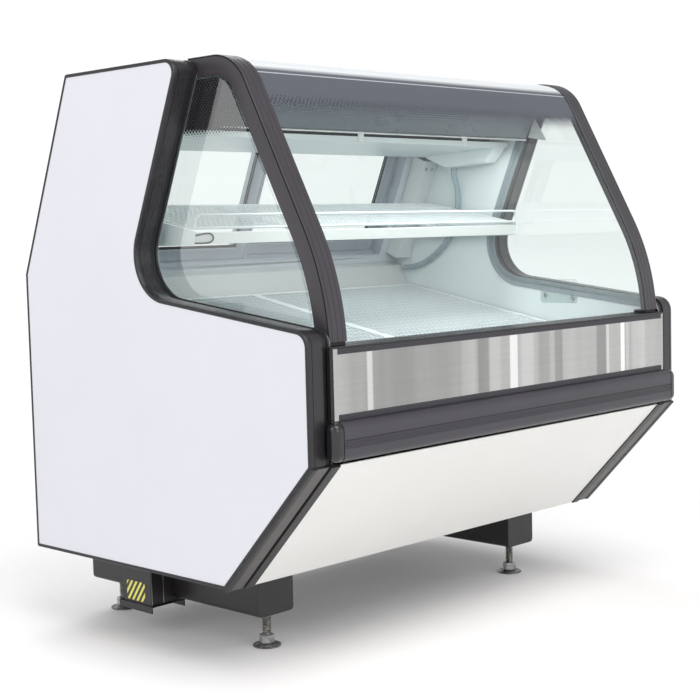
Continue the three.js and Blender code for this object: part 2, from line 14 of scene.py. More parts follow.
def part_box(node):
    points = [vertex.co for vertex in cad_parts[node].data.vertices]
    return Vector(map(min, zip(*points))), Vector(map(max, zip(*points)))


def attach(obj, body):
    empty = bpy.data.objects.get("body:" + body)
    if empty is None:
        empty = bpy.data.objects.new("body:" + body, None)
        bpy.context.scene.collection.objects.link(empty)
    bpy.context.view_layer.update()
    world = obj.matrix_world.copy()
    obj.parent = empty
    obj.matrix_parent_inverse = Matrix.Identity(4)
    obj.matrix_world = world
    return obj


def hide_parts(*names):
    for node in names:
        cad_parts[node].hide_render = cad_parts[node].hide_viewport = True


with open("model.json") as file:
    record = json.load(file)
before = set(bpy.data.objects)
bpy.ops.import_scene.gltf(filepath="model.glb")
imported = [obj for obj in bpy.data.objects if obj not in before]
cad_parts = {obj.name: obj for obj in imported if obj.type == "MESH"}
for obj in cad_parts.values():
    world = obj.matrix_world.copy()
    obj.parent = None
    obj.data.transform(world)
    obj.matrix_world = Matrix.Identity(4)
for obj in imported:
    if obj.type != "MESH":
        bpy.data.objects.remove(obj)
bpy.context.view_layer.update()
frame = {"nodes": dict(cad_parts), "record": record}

MM = 0.001
WALL_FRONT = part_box("edge_band_left")[0].y / MM
BODY_OF = {node: body for body, nodes in frame["record"]["behaviour"]["bodies"].items() for node in nodes}


# ---------------------------------------------------------------- local frames
def case(x, depth, height):
    """A point given in case millimetres, in the frame's metres."""
    return Vector((x * MM, (depth + WALL_FRONT) * MM, height * MM))


def span(node):
    """Lowest and highest x, depth and height of a CAD node, in case millimetres."""
    low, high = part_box(node)
    shift = (0, WALL_FRONT, 0)
    return [(low[i] / MM - shift[i], high[i] / MM - shift[i]) for i in range(3)]


def turned(depth, height, angle):
    """A local frame at a point of the side view, turned about X: its y runs along the angle."""
    def place(x, along, up):
        return case(
            x,
            depth + along * math.cos(angle) - up * math.sin(angle),
            height + along * math.sin(angle) + up * math.cos(angle),
        )
    return place


WALL_X = span("edge_band_right")[0]
WALL_OUTER = WALL_X[1]
WALL_INNER = span("end_wall_right")[0][0]
WALL_DEPTH = span("edge_band_right")[1][1]
WALL_BOTTOM, WALL_TOP = span("edge_band_right")[2]

# Corners of the end wall's outline, as [depth, height, radius].
SLANT_TOP = (0, 462, 6)
SLANT_FOOT = (264, WALL_BOTTOM, 4)
LEAN_FOOT = (WALL_DEPTH, 835, 10)
LEAN_TOP = (757, WALL_TOP, 8)
WINDOW_TOP = (357, WALL_TOP, 30)
WINDOW_CORNER = (564, 798, 95)
WINDOW_FRONT = (0, 726, 35)
WALL_CORNERS = [
    SLANT_TOP, SLANT_FOOT, (WALL_DEPTH, WALL_BOTTOM, 6), LEAN_FOOT,
    LEAN_TOP, WINDOW_TOP, WINDOW_CORNER, WINDOW_FRONT,
]
# Outside of the lift-up front, from its hinge to its foot.
CANOPY_CORNERS = [(405, 1288), (258, 1288, 110), (10.4, 821.6, 550), (3.2, 702)]

# Planes of the rear doors, the deck and the shelf, as [depth, height, angle].
DECK_SLOPE = math.atan(0.1965)
DOOR_PLANE = (*LEAN_FOOT[:2], math.atan2(LEAN_FOOT[0] - LEAN_TOP[0], LEAN_TOP[1] - LEAN_FOOT[1]))
DECK_PLANE = (64, 606, DECK_SLOPE)
SHELF_PLANE = (436, 932, DECK_SLOPE)
leaning = turned(*DOOR_PLANE)
deck = turned(*DECK_PLANE)
shelf = turned(*SHELF_PLANE)


# ---------------------------------------------------------------- outlines
def rounded_path(corners, inset=0.0, closed=False, step=4.0):
    """Points along a path of corners (a, b, radius). A positive inset moves it to its left."""
    points = [Vector(corner[:2]) for corner in corners]
    radii = [corner[2] if len(corner) > 2 else 0 for corner in corners]
    count = len(points)
    edges = count if closed else count - 1
    along = [(points[(i + 1) % count] - points[i]).normalized() for i in range(edges)]
    left = [Vector((-direction.y, direction.x)) for direction in along]
    path = [] if closed else [points[0] + left[0] * inset]
    for i in range(0 if closed else 1, count if closed else count - 1):
        before, after = along[(i - 1) % edges], along[i]
        turn = math.atan2(before.x * after.y - before.y * after.x, before.dot(after))
        sign = math.copysign(1, turn)
        corner = points[i] + left[(i - 1) % edges] * inset - before * inset * math.tan(turn / 2)
        if not radii[i]:
            path.append(corner)
            continue
        radius = max(radii[i] - inset * sign, 0.05)
        start = corner - before * radius * math.tan(abs(turn) / 2)
        centre = start + left[(i - 1) % edges] * radius * sign
        steps = max(2, math.ceil(math.degrees(abs(turn)) / step))
        for s in range(steps + 1):
            path.append(centre + Matrix.Rotation(turn * s / steps, 2) @ (start - centre))
    if not closed:
        path.append(points[-1] + left[-1] * inset)
    return [(point.x, point.y) for point in path]


def rectangle(low_a, high_a, low_b, high_b, radius=0.0):
    corners = [(low_a, low_b), (high_a, low_b), (high_a, high_b), (low_a, high_b)]
    if not radius:
        return corners
    return rounded_path([(a, b, radius) for a, b in corners], 0, True, 15)


def spline(points, steps=8):
    """A smooth curve through the points (Catmull-Rom)."""
    points = [Vector(point) for point in points]
    ends = [points[0] * 2 - points[1], *points, points[-1] * 2 - points[-2]]
    path = []
    for i in range(1, len(ends) - 2):
        a, b, c, d = ends[i - 1:i + 3]
        for s in range(steps):
            t = s / steps
            path.append(0.5 * (2 * b + (c - a) * t + (2 * a - 5 * b + 4 * c - d) * t * t
                               + (3 * b - a - 3 * c + d) * t ** 3))
    return [*path, points[-1]]


def bent(points, radius, steps=6):
    """A wire's centreline: straight runs with rounded corners."""
    points = [Vector(point) for point in points]
    path = [points[0]]
    for before, corner, after in zip(points, points[1:], points[2:]):
        start = corner + (before - corner).normalized() * radius
        end = corner + (after - corner).normalized() * radius
        for s in range(steps + 1):
            t = s / steps
            path.append(start * (1 - t) ** 2 + corner * 2 * t * (1 - t) + end * t * t)
    return [*path, points[-1]]


# ---------------------------------------------------------------- solids
ORDER = {
    "x": lambda a, b, along: (along, a, b),
    "y": lambda a, b, along: (a, along, b),
    "z": lambda a, b, along: (a, b, along),
}


class Solid:
    """Closed shapes collected in one local frame, which become one piece."""

    def __init__(self, place=case):
        self.place = place
        self.points = []
        self.faces = []
        self.marks = []

    def add(self, points, faces, face_marks=None):
        first = len(self.points)
        self.points += [self.place(*point) for point in points]
        self.faces += [[first + i for i in face] for face in faces]
        self.marks += face_marks or [0] * len(faces)

    def layers(self, loops, closed=False, marks=None):
        """Faces between loops of the same number of points. marks gives one mark for each side."""
        size = len(loops[0])
        rows = len(loops)
        faces = []
        face_marks = []
        for row in range(rows if closed else rows - 1):
            here, there = row * size, ((row + 1) % rows) * size
            for i in range(size):
                j = (i + 1) % size
                faces.append([here + i, here + j, there + j, there + i])
                face_marks.append(marks[i] if marks else 0)
        if not closed:
            faces.append(list(range(size))[::-1])
            faces.append(list(range((rows - 1) * size, rows * size)))
            face_marks += [0, 0]
        self.add([point for loop in loops for point in loop], faces, face_marks)

    def prism(self, axis, outline, low, high):
        order = ORDER[axis]
        self.layers([[order(a, b, at) for a, b in outline] for at in (low, high)])

    def ring(self, axis, outer, inner, low, high):
        """A plate with a hole. Both outlines have the same number of points."""
        order = ORDER[axis]
        loops = [(outer, low), (outer, high), (inner, high), (inner, low)]
        self.layers([[order(a, b, at) for a, b in outline] for outline, at in loops], closed=True)

    def box(self, x, y, z):
        self.prism("z", rectangle(*x, *y), *z)

    def sweep(self, axis, corners, section, closed=False, step=4.0, marks=None):
        """Carries a section of (along the axis, inset) points round a path of corners."""
        order = ORDER[axis]
        lines = [rounded_path(corners, inset, closed, step) for _, inset in section]
        loops = [[order(*line[i], section[k][0]) for k, line in enumerate(lines)]
                 for i in range(len(lines[0]))]
        self.layers(loops, closed=closed, marks=marks)

    def lathe(self, axis, centre, profile, steps=32):
        """Turns a profile of (radius, height) about an axis. It starts and ends at radius 0."""
        order = ORDER[axis]
        rings = []
        points = []
        for radius, height in profile:
            count = steps if radius else 1
            rings.append([len(points) + i for i in range(count)])
            for i in range(count):
                angle = 2 * math.pi * i / steps
                spot = order(radius * math.cos(angle), radius * math.sin(angle), height)
                points.append([a + b for a, b in zip(spot, centre)])
        faces = []
        for low, high in zip(rings, rings[1:]):
            for i in range(steps):
                j = (i + 1) % steps
                corners = [low[i % len(low)], low[j % len(low)], high[j % len(high)], high[i % len(high)]]
                faces.append(list(dict.fromkeys(corners)))
        self.add(points, [face for face in faces if len(face) > 2])

    def tube(self, route, radius, sides=12):
        points = [Vector(point) for point in route]
        last = len(points) - 1
        directions = [(points[min(i + 1, last)] - points[max(i - 1, 0)]).normalized()
                      for i in range(len(points))]
        side = directions[0].orthogonal().normalized()
        loops = []
        for point, direction in zip(points, directions):
            side = (side - direction * side.dot(direction)).normalized()
            other = direction.cross(side)
            loops.append([
                point + radius * (side * math.cos(2 * math.pi * k / sides)
                                  + other * math.sin(2 * math.pi * k / sides))
                for k in range(sides)
            ])
        self.layers(loops)

    def thread(self, centre, radius, pitch, bottom, top, steps=24):
        """An upright threaded stud, with a real helix."""
        depth = 0.42 * pitch
        rows_per_turn = 6
        rows = math.ceil((top - bottom) / pitch * rows_per_turn)
        loops = []
        for row in range(rows + 1):
            height = bottom + (top - bottom) * row / rows
            loop = []
            for i in range(steps):
                phase = (height / pitch - i / steps) % 1
                angle = 2 * math.pi * i / steps
                reach = radius - depth * abs(2 * phase - 1)
                x = centre[0] + reach * math.cos(angle)
                y = centre[1] + reach * math.sin(angle)
                loop.append((x, y, height))
            loops.append(loop)
        self.layers(loops)

    def expanded_metal(self, across, along, up, cell=(15, 28), strand=(2.2, 1.0)):
        """A sheet of zigzag strands that touch at their knuckles and lean a little."""
        knuckle, weave, lean = 0.18, 0.45, 0.5
        half_cell = cell[0] / 2
        halves = round((across[1] - across[0]) / half_cell)
        half_cell = (across[1] - across[0]) / halves
        rows = round((along[1] - along[0]) / cell[1])
        pitch = (along[1] - along[0]) / rows
        width, thickness = strand
        for row in range(rows):
            middle = along[0] + (row + 0.5) * pitch
            loops = []
            for knot in range(halves + 1):
                side = 1 if (knot + row) % 2 else -1
                depth = middle + side * (pitch - width) / 2
                near, far = depth - width / 2, depth + width / 2
                low = up + side * weave
                spot = across[0] + knot * half_cell
                for reach in (-knuckle, knuckle):
                    x = min(max(spot + reach * half_cell, across[0]), across[1])
                    if loops and abs(x - loops[-1][0][0]) < 0.01:
                        continue
                    loops.append([
                        (x, near, low), (x, far, low + lean),
                        (x, far, low + lean + thickness), (x, near, low + thickness),
                    ])
            self.layers(loops)

    def piece(self, name, finish, replaces=(), body="cabinet", bevel=0.0, smooth=32):
        """Makes the Blender object. finish is a material, or a list that the marks point into."""
        mesh = bpy.data.meshes.new(name)
        mesh.from_pydata(self.points, [], self.faces)
        for material in finish if isinstance(finish, list) else [finish]:
            mesh.materials.append(material)
        mesh.polygons.foreach_set("material_index", self.marks)
        tidy = bmesh.new()
        tidy.from_mesh(mesh)
        bmesh.ops.recalc_face_normals(tidy, faces=tidy.faces)
        tidy.to_mesh(mesh)
        tidy.free()
        settle(name, mesh, body, replaces, bevel, smooth)


def settle(name, mesh, body, replaces, bevel, smooth, segments=2):
    """Puts a finished mesh in the scene, on its body, with eased edges if it has a bevel."""
    mesh.shade_smooth()
    mesh.set_sharp_from_angle(angle=math.radians(smooth))
    made = bpy.data.objects.new(name, mesh)
    bpy.context.scene.collection.objects.link(made)
    if bevel:
        modifier = made.modifiers.new("edges", "BEVEL")
        modifier.width = bevel * MM
        modifier.segments = segments
        modifier.limit_method = "ANGLE"
        modifier.angle_limit = math.radians(smooth)
        modifier.harden_normals = True
    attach(made, body)
    if replaces:
        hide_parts(*replaces)


def refined(node, finish, bevel=0.8, smooth=32, segments=2):
    """A CAD node's own shape with clean faces and eased edges."""
    mesh = bpy.data.meshes.new(node + "_finished")
    clean = bmesh.new()
    clean.from_mesh(frame["nodes"][node].data)
    bmesh.ops.remove_doubles(clean, verts=clean.verts, dist=1e-6)
    bmesh.ops.dissolve_limit(clean, angle_limit=math.radians(0.5), verts=clean.verts, edges=clean.edges)
    bmesh.ops.recalc_face_normals(clean, faces=clean.faces)
    for face in clean.faces:
        face.material_index = 0
    clean.to_mesh(mesh)
    clean.free()
    mesh.materials.clear()
    mesh.materials.append(finish)
    if "custom_normal" in mesh.attributes:
        mesh.attributes.remove(mesh.attributes["custom_normal"])
    settle(mesh.name, mesh, BODY_OF[node], [node], bevel, smooth, segments)


def dress(node, finish):
    """A CAD node that stays as it is, in a new finish."""
    materials = frame["nodes"][node].data.materials
    materials.clear()
    materials.append(finish)


def both_ends(maker):
    maker(-1, "left")
    maker(1, "right")


# ---------------------------------------------------------------- materials
def tone(red, green, blue):
    """A colour given as it looks on screen, 0 to 255, as the shader's linear values."""
    linear = [((c / 255 + 0.055) / 1.055) ** 2.4 if c > 10 else c / 255 / 12.92 for c in (red, green, blue)]
    return (*linear, 1.0)


def scaled(colour, share):
    return (*[min(c * share, 1.0) for c in colour[:3]], 1.0)


class Shader:
    """A node material under construction. Textures are laid out in object space, in real sizes."""

    def __init__(self, name):
        self.material = bpy.data.materials.new(name)
        self.material.use_nodes = True
        self.tree = self.material.node_tree
        self.tree.nodes.clear()
        self.place = self.node("TexCoord").outputs["Object"]

    def node(self, kind, inputs=None, **settings):
        made = self.tree.nodes.new("ShaderNode" + kind)
        for key, value in settings.items():
            setattr(made, key, value)
        for key, value in (inputs or {}).items():
            if isinstance(value, bpy.types.NodeSocket):
                self.tree.links.new(value, made.inputs[key])
            else:
                made.inputs[key].default_value = value
        return made

    def along(self, axis):
        """The place along X, Y or Z, in metres."""
        return self.node("SeparateXYZ", {"Vector": self.place}).outputs[axis]

    def stretched(self, x, y, z):
        return self.node("Mapping", {"Vector": self.place, "Scale": (x, y, z)}).outputs[0]

    def noise(self, size, detail=2.0, place=None):
        """Cloudy noise whose patches are about this many millimetres across."""
        inputs = {"Vector": place or self.place, "Scale": 1 / (size * MM), "Detail": detail}
        return self.node("TexNoise", {**inputs, "Roughness": 0.55}).outputs[0]

    def math(self, operation, a, b=0.0, clamp=False):
        return self.node("Math", {0: a, 1: b}, operation=operation, use_clamp=clamp).outputs[0]

    def between(self, value, low, high, from_low=0.3, from_high=0.7):
        inputs = {"Value": value, "From Min": from_low, "From Max": from_high, "To Min": low, "To Max": high}
        return self.node("MapRange", inputs).outputs[0]

    def blend(self, share, a, b):
        return self.node("Mix", {0: share, 6: a, 7: b}, data_type="RGBA").outputs[2]

    def bump(self, height, strength, distance, normal=None):
        inputs = {"Height": height, "Strength": strength, "Distance": distance * MM}
        if normal:
            inputs["Normal"] = normal
        return self.node("Bump", inputs).outputs[0]

    def end(self, shader):
        self.node("OutputMaterial", {"Surface": shader})
        return self.material

    def principled(self, **inputs):
        names = {key.replace("_", " ").title().replace("Ior", "IOR"): value for key, value in inputs.items()}
        return self.end(self.node("BsdfPrincipled", names).outputs[0])


def painted(name, colour, roughness, peel=0.2, grain=1.5, drift=0.06, coat=0.0):
    """Powder coat, enamel or moulded plastic: slow colour drift, fine speckle, orange-peel surface."""
    s = Shader(name)
    clouds = s.noise(260, 3)
    specks = s.noise(grain, 2)
    shade = s.math("ADD", s.math("MULTIPLY", clouds, 0.7), s.math("MULTIPLY", specks, 0.3))
    mixed = s.blend(s.between(shade, 0, 1, 0.35, 0.65), scaled(colour, 1 - drift), scaled(colour, 1 + drift))
    handled = s.noise(70, 4)
    normal = s.bump(specks, peel, 0.25)
    return s.principled(
        base_color=mixed,
        roughness=s.between(handled, roughness - 0.05, roughness + 0.07),
        coat_weight=coat, coat_roughness=0.2, normal=normal,
    )


def profiled(name, colour, roughness, metallic=0.0, drift=0.12, lines=(0.02, 1, 1), scratch=0.15):
    """Extruded trim: fine marks along its length, dust specks, and edges drawn lighter as a painted
    highlight.
    """
    s = Shader(name)
    drawn = s.noise(1.2, 3, s.stretched(*lines))
    specks = s.noise(0.9, 2)
    clouds = s.noise(140, 3)
    shade = s.math("ADD", s.math("MULTIPLY", drawn, 0.45), s.math("MULTIPLY", clouds, 0.55))
    base = s.blend(s.between(shade, 0, 1, 0.35, 0.65), scaled(colour, 1 - drift), scaled(colour, 1 + drift))
    # Painted highlight: edges that stick out are drawn lighter, broken up by the specks.
    edge = s.between(s.node("NewGeometry").outputs["Pointiness"], 0, 0.5, 0.53, 0.62)
    painted_edge_highlight = s.blend(s.math("MULTIPLY", edge, s.between(specks, 0.3, 1), True), base, scaled(colour, 2.0))
    normal = s.bump(specks, 0.12, 0.1, s.bump(drawn, scratch, 0.1))
    return s.principled(
        base_color=painted_edge_highlight,
        roughness=s.between(drawn, roughness - 0.06, roughness + 0.1),
        metallic=metallic, normal=normal,
    )


def brushed(name, colour, roughness, painted_reflections=()):
    """Brushed or polished sheet: hair lines along it, and painted reflections as upright light and dark bands
    [x, half width, edge, change].
    """
    s = Shader(name)
    drawn_out = s.stretched(0.012, 1, 1)
    hair = s.noise(0.7, 3, drawn_out)
    fine = s.noise(3.5, 2, drawn_out)
    clouds = s.noise(90, 2)
    base = s.blend(s.between(fine, 0, 1), scaled(colour, 0.97), scaled(colour, 1.03))
    if painted_reflections:
        # Painted reflections: upright light and dark bands across the sheet, set into its colour.
        upright = s.between(s.noise(60, 3, s.stretched(1, 0.02, 0.06)), -0.06, 0.06)
        across = s.along("X")
        for middle, core, soft, change in painted_reflections:
            gap = s.math("ABSOLUTE", s.math("SUBTRACT", across, middle * MM))
            upright = s.math("ADD", upright, s.between(gap, change, 0, core * MM, (core + soft) * MM))
        dark = s.blend(s.math("MULTIPLY", upright, -1.0, True), base, scaled(colour, 0))
        base = s.blend(s.math("MAXIMUM", upright, 0.0, True), dark, tone(255, 255, 255))
    return s.principled(
        base_color=base,
        roughness=s.between(s.math("ADD", s.math("MULTIPLY", hair, 0.6), s.math("MULTIPLY", clouds, 0.4)),
                            roughness - 0.07, roughness + 0.09),
        metallic=1.0, anisotropic=0.5, normal=s.bump(hair, 0.1, 0.04),
    )


def plated(name, colour, tint, roughness):
    """Zinc plating: small cloudy grains, patches of passivation tint and handling marks."""
    s = Shader(name)
    grains = s.node("TexVoronoi", {"Vector": s.place, "Scale": 1 / (1.6 * MM)}).outputs["Distance"]
    patches = s.noise(9, 4)
    base = s.blend(s.between(patches, 0, 1, 0.4, 0.62), colour, tint)
    grimy = s.blend(s.between(s.noise(4, 4), 0.25, 0, 0.34, 0.46), base, scaled(colour, 0.3))
    return s.principled(
        base_color=grimy, metallic=0.9,
        roughness=s.between(patches, roughness, roughness + 0.2),
        normal=s.bump(grains, 0.15, 0.1),
    )


def glassy(name, tint, ior=1.45, mirror_gain=1.0, dots=None):
    """A clean pane: it lets light straight through and reflects by Fresnel on its outer faces."""
    s = Shader(name)
    facing = s.node("Fresnel", {"IOR": ior}).outputs[0]
    outward = s.math("SUBTRACT", 1.0, s.node("NewGeometry").outputs["Backfacing"])
    smears = s.between(s.noise(60, 4), 0.005, 0.045)
    clear = s.node("BsdfTransparent", {"Color": tint}).outputs[0]
    mirror = s.node("BsdfAnisotropic", {"Color": (1, 1, 1, 1), "Roughness": smears}).outputs[0]
    share = s.math("MULTIPLY", s.math("MULTIPLY", facing, mirror_gain), outward, True)
    pane = s.node("MixShader", {0: share, 1: clear, 2: mirror}).outputs[0]
    if dots:
        pane = s.node("MixShader", {0: halftone(s, dots), 1: pane, 2: glossy_ink(s, dots)}).outputs[0]
    return s.end(pane)


def glossy_ink(s, dots):
    """The print's enamel. Above the highlight height given with the dots it turns pale, a painted reflection
    of the light along the glass's top bend, with a thin pale line just below that is painted too.
    """
    specks = s.between(s.noise(1, 2), 0, 1)
    colour = s.blend(specks, scaled(dots["ink"], 0.9), scaled(dots["ink"], 1.1))
    if "painted_highlight_above" in dots:
        edge = dots["painted_highlight_above"] * MM
        height = s.along("Z")
        off_line = s.math("ABSOLUTE", s.math("SUBTRACT", height, edge - 7 * MM))
        line = s.math("LESS_THAN", off_line, 1.2 * MM)
        painted_highlight = s.between(height, 0, 1, edge - 1 * MM, edge + 9 * MM)
        share = s.math("MAXIMUM", s.math("MULTIPLY", line, 0.5), painted_highlight)
        colour = s.blend(share, colour, tone(226, 230, 233))
    return s.node("BsdfPrincipled", {"Base Color": colour, "Roughness": 0.06}).outputs[0]


def halftone(s, dots):
    """A printed screen of dots, solid at the top and dying out downwards."""
    fade_from, fade_to = dots["fade"]
    # The screen is laid at 45 degrees, so its rows run along the sum and the difference.
    row = dots["pitch"] * MM * math.sqrt(2)
    cells = []
    for operation in ("ADD", "SUBTRACT"):
        spot = s.math("DIVIDE", s.math(operation, s.along(dots["across"]), s.along("Z")), row)
        cells.append(s.math("SUBTRACT", s.math("FRACT", spot), 0.5))
    squares = [s.math("MULTIPLY", cell, cell) for cell in cells]
    distance = s.math("SQRT", s.math("ADD", *squares))
    radius = s.between(s.along("Z"), 0.0, 0.62, fade_from * MM, fade_to * MM)
    return s.math("LESS_THAN", distance, radius)


def striped(name):
    """A plain warning-tape pattern: slanted stripes of two colours."""
    s = Shader(name)
    steepness, pitch, start, yellow_share = 0.72, 16.5, 0.3, 0.47
    across = s.math("ADD", s.math("MULTIPLY", s.along("Z"), steepness), s.along("Y"))
    slant = s.math("DIVIDE", across, pitch * MM)
    stripe = s.math("LESS_THAN", s.math("FRACT", s.math("ADD", slant, start)), yellow_share)
    scuffs = s.noise(3, 4)
    yellow = s.blend(s.between(scuffs, 0, 1), tone(232, 222, 84), tone(250, 243, 120))
    black = s.blend(s.between(scuffs, 0, 1), tone(34, 31, 32), tone(58, 54, 52))
    return s.principled(base_color=s.blend(stripe, black, yellow),
                        roughness=s.between(scuffs, 0.3, 0.5), normal=s.bump(scuffs, 0.1, 0.1))


def translucent(name, colour):
    """A clear flexible hose: see-through in the middle, darker and glossier at its sides."""
    s = Shader(name)
    facing = s.node("LayerWeight", {"Blend": 0.45}).outputs["Facing"]
    haze = s.between(s.noise(14, 3), -0.06, 0.06)
    cover = s.math("ADD", s.between(facing, 0.35, 0.92, 0.1, 0.95), haze, True)
    clear = s.node("BsdfTransparent", {"Color": (0.95, 0.98, 1, 1)}).outputs[0]
    wall = s.node("BsdfPrincipled", {"Base Color": colour, "Roughness": 0.18,
                                     "Normal": s.bump(s.noise(3, 2), 0.1, 0.2)}).outputs[0]
    return s.end(s.node("MixShader", {0: cover, 1: clear, 2: wall}).outputs[0])


def glowing(name, colour, strength):
    """A lamp tube's frosted glass, a little duller towards its ends."""
    s = Shader(name)
    from_middle = s.math("ABSOLUTE", s.along("X"))
    ends = s.between(from_middle, 1.0, 0.55, 0.4, 0.52)
    dust = s.between(s.noise(12, 3), 0.94, 1.0)
    return s.principled(base_color=colour, roughness=0.3, emission_color=colour,
                        emission_strength=s.math("MULTIPLY", s.math("MULTIPLY", ends, dust), strength))


WHITE = painted("white_powder_coat", tone(220, 221, 228), 0.36, drift=0.012)
WARM_WHITE = painted("warm_white_sheet", tone(229, 229, 226), 0.34, drift=0.012)
COVER_WHITE = painted("cover_white", tone(205, 207, 209), 0.3, drift=0.02)
LINER = painted("liner_plastic", tone(226, 234, 234), 0.38, peel=0.15, grain=2.4, drift=0.015)
SHELF_WHITE = painted("coated_wire_white", tone(226, 232, 233), 0.32, peel=0.25, grain=1.1, drift=0.02)
TUB_GREY = painted("tub_liner", tone(200, 204, 204), 0.36, peel=0.15, grain=2.4, drift=0.02)
# The white deck pan, painted dark grey as painted shade under the expanded metal.
PAN_SHADED = painted("deck_pan_painted_shade", tone(150, 160, 164), 0.4, peel=0.2, grain=2.0, drift=0.03)
LAMP_WHITE = painted("lamp_housing_white", tone(241, 243, 241), 0.34, drift=0.01)
GREY = painted("grey_enamel", tone(124, 131, 139), 0.3, drift=0.05)
POST_GREY = painted("post_grey", tone(212, 217, 217), 0.36, drift=0.05)
BLACK = profiled("black_edge_trim", tone(36, 34, 38), 0.3, lines=(1, 0.05, 0.05), drift=0.2)
# Near black for grooves, recesses and the gaps at the band's ends: painted shade.
PAINTED_SHADE = profiled("painted_gap_shade", tone(16, 16, 18), 0.5, lines=(1, 0.05, 0.05))
CHARCOAL = profiled("charcoal_profile", tone(54, 51, 56), 0.36, lines=(1, 0.04, 0.04), drift=0.18)
BUMPER = profiled("charcoal_bumper", tone(52, 50, 56), 0.34, lines=(0.02, 1, 1), drift=0.16)
GLOSS_BUMPER = painted("bumper_end_plastic", tone(27, 26, 29), 0.16, peel=0.06, drift=0.08, coat=0.4)
DARK_STRIP = profiled("dark_strip", tone(34, 33, 34), 0.4, drift=0.14)
LIGHT_STRIP = profiled("light_strip", tone(88, 86, 84), 0.42, metallic=0.3, drift=0.1)
WINDOW_GREY = profiled("window_flange_grey", tone(138, 147, 153), 0.36, lines=(1, 0.05, 0.05), drift=0.1)
STEEL_BLACK = painted("black_steel_paint", tone(32, 29, 31), 0.36, peel=0.3, grain=1.8, drift=0.14)
# The front band's painted reflections, as upright light and dark bands: [x, half width, soft edge, change].
BAND_PAINTED_REFLECTIONS = [
    (-350, 190, 60, -0.21), (-490, 6, 4, 0.6), (-410, 50, 30, -0.08), (-181, 18, 12, 0.2),
    (-130, 16, 6, -0.24), (-90, 14, 10, 0.14), (-23, 12, 4, 0.75), (34, 26, 16, 0.22), (80, 26, 8, -0.2),
    (145, 13, 4, -0.3), (318, 17, 5, -0.32), (345, 4, 3, 0.4), (409, 7, 3, 1.0), (430, 4, 4, 0.25),
    (478, 24, 10, 0.16),
]
STAINLESS = brushed("brushed_stainless", tone(186, 186, 185), 0.24, BAND_PAINTED_REFLECTIONS)
STEEL = brushed("drawn_steel", tone(190, 192, 193), 0.3)
ALUMINIUM = brushed("anodised_aluminium", tone(150, 157, 166), 0.36)
DOOR_PAINT = profiled("door_frame_grey", tone(184, 191, 200), 0.34, metallic=0.15, drift=0.08)
DOOR_GREY = profiled("sliding_door_grey", tone(158, 164, 172), 0.34, metallic=0.15, drift=0.08)
ZINC = plated("zinc_plate", tone(190, 191, 193), tone(150, 150, 150), 0.3)
DARK_ZINC = plated("dull_zinc", tone(142, 142, 142), tone(96, 94, 92), 0.32)
BRASSY = plated("passivated_zinc", tone(170, 169, 166), tone(118, 115, 108), 0.3)
RUBBER = painted("black_rubber", tone(28, 27, 28), 0.6, peel=0.5, grain=0.9, drift=0.2)
BRISTLE = profiled("brush_pile", tone(52, 52, 56), 0.8, lines=(1, 1, 0.08), scratch=0.7)
GLASS_TINT = (0.965, 0.985, 0.98, 1)
GLASS = glassy("clear_glass_pane", GLASS_TINT, mirror_gain=1.3)
# The front print turns pale at its top: a painted reflection along the glass's top bend.
FRONT_DOTS = {"ink": tone(84, 89, 98), "across": "X", "pitch": 8, "fade": (1152, 1206), "painted_highlight_above": 1256}
FRONT_GLASS = glassy("front_glass_pane", GLASS_TINT, mirror_gain=1.3, dots=FRONT_DOTS)
SIDE_GLASS = glassy("side_glass", GLASS_TINT, mirror_gain=3.0)
SIDE_FADES = {"left": (1118, 1142), "right": (1162, 1222)}
PRINTED_GLASS = {
    side: glassy("printed_glass_" + side, GLASS_TINT, mirror_gain=3.0,
                 dots={"ink": tone(37, 37, 40), "across": "Y", "pitch": 7, "fade": fade})
    for side, fade in SIDE_FADES.items()
}
CLIP = glassy("clear_plastic", (0.93, 0.95, 0.95, 1), ior=1.5, mirror_gain=1.5)
HOSE = translucent("clear_hose_wall", tone(168, 184, 190))
LAMP = glowing("lamp_tube", tone(250, 252, 250), 2.0)
TAPE = striped("striped_label")


# ---------------------------------------------------------------- end walls
def end_wall(sign, side):
    dress(f"end_wall_{side}", LINER)
    dress(f"end_skin_{side}", WHITE)
    lip, face = WALL_OUTER + 0.4, WALL_OUTER - 0.5
    section = [
        (WALL_INNER, 4), (WALL_INNER, 0.9), (WALL_INNER + 0.9, 0),
        (WALL_INNER + 5.2, 0), (WALL_INNER + 6, 2.9), (WALL_INNER + 19.8, 2.9), (WALL_INNER + 20.6, 0),
        (WALL_OUTER - 12, 0), (WALL_OUTER - 11.6, 0.9), (WALL_OUTER - 10.4, 0.9), (WALL_OUTER - 10, 0),
        (WALL_OUTER - 2, 0), (WALL_OUTER - 0.4, 0.7), (lip, 2.2),
        (lip, 3.4), (lip - 0.35, 3.8), (lip - 0.35, 4.4), (lip, 4.8),
        (lip, 7.4), (lip - 0.3, 8), (face, 8), (face, 4),
    ]
    # The recessed reveal and the small groove on the lip take painted shade.
    trim, gap = 0, 1
    marks = [trim] * 3 + [gap] * 3 + [trim] * 8 + [gap] * 3 + [trim] * 5
    band = Solid()
    band.sweep("x", WALL_CORNERS, [(sign * x, inset) for x, inset in section], closed=True, marks=marks)
    band.piece(f"edge_trim_{side}", [BLACK, PAINTED_SHADE], [f"edge_band_{side}"])

    flange_path = [(368.5, 1256), WINDOW_CORNER, WINDOW_FRONT, (0, 701)]
    near = WALL_INNER - 2.2
    flange = Solid()
    flange.sweep("x", flange_path, [(sign * x, inset) for x, inset in [
        (WALL_INNER - 0.1, 0.4), (near + 0.3, 0.4), (near, 0.8), (near, 10.5), (near + 0.9, 11.2),
        (near + 0.9, 13.4), (near, 14), (near, 26), (near + 0.5, 26.5), (WALL_INNER - 0.1, 26.5),
    ]], marks=[2] * 2 + [1] * 7 + [0])
    flange.piece(f"window_flange_{side}", [BLACK, WINDOW_GREY, ALUMINIUM])


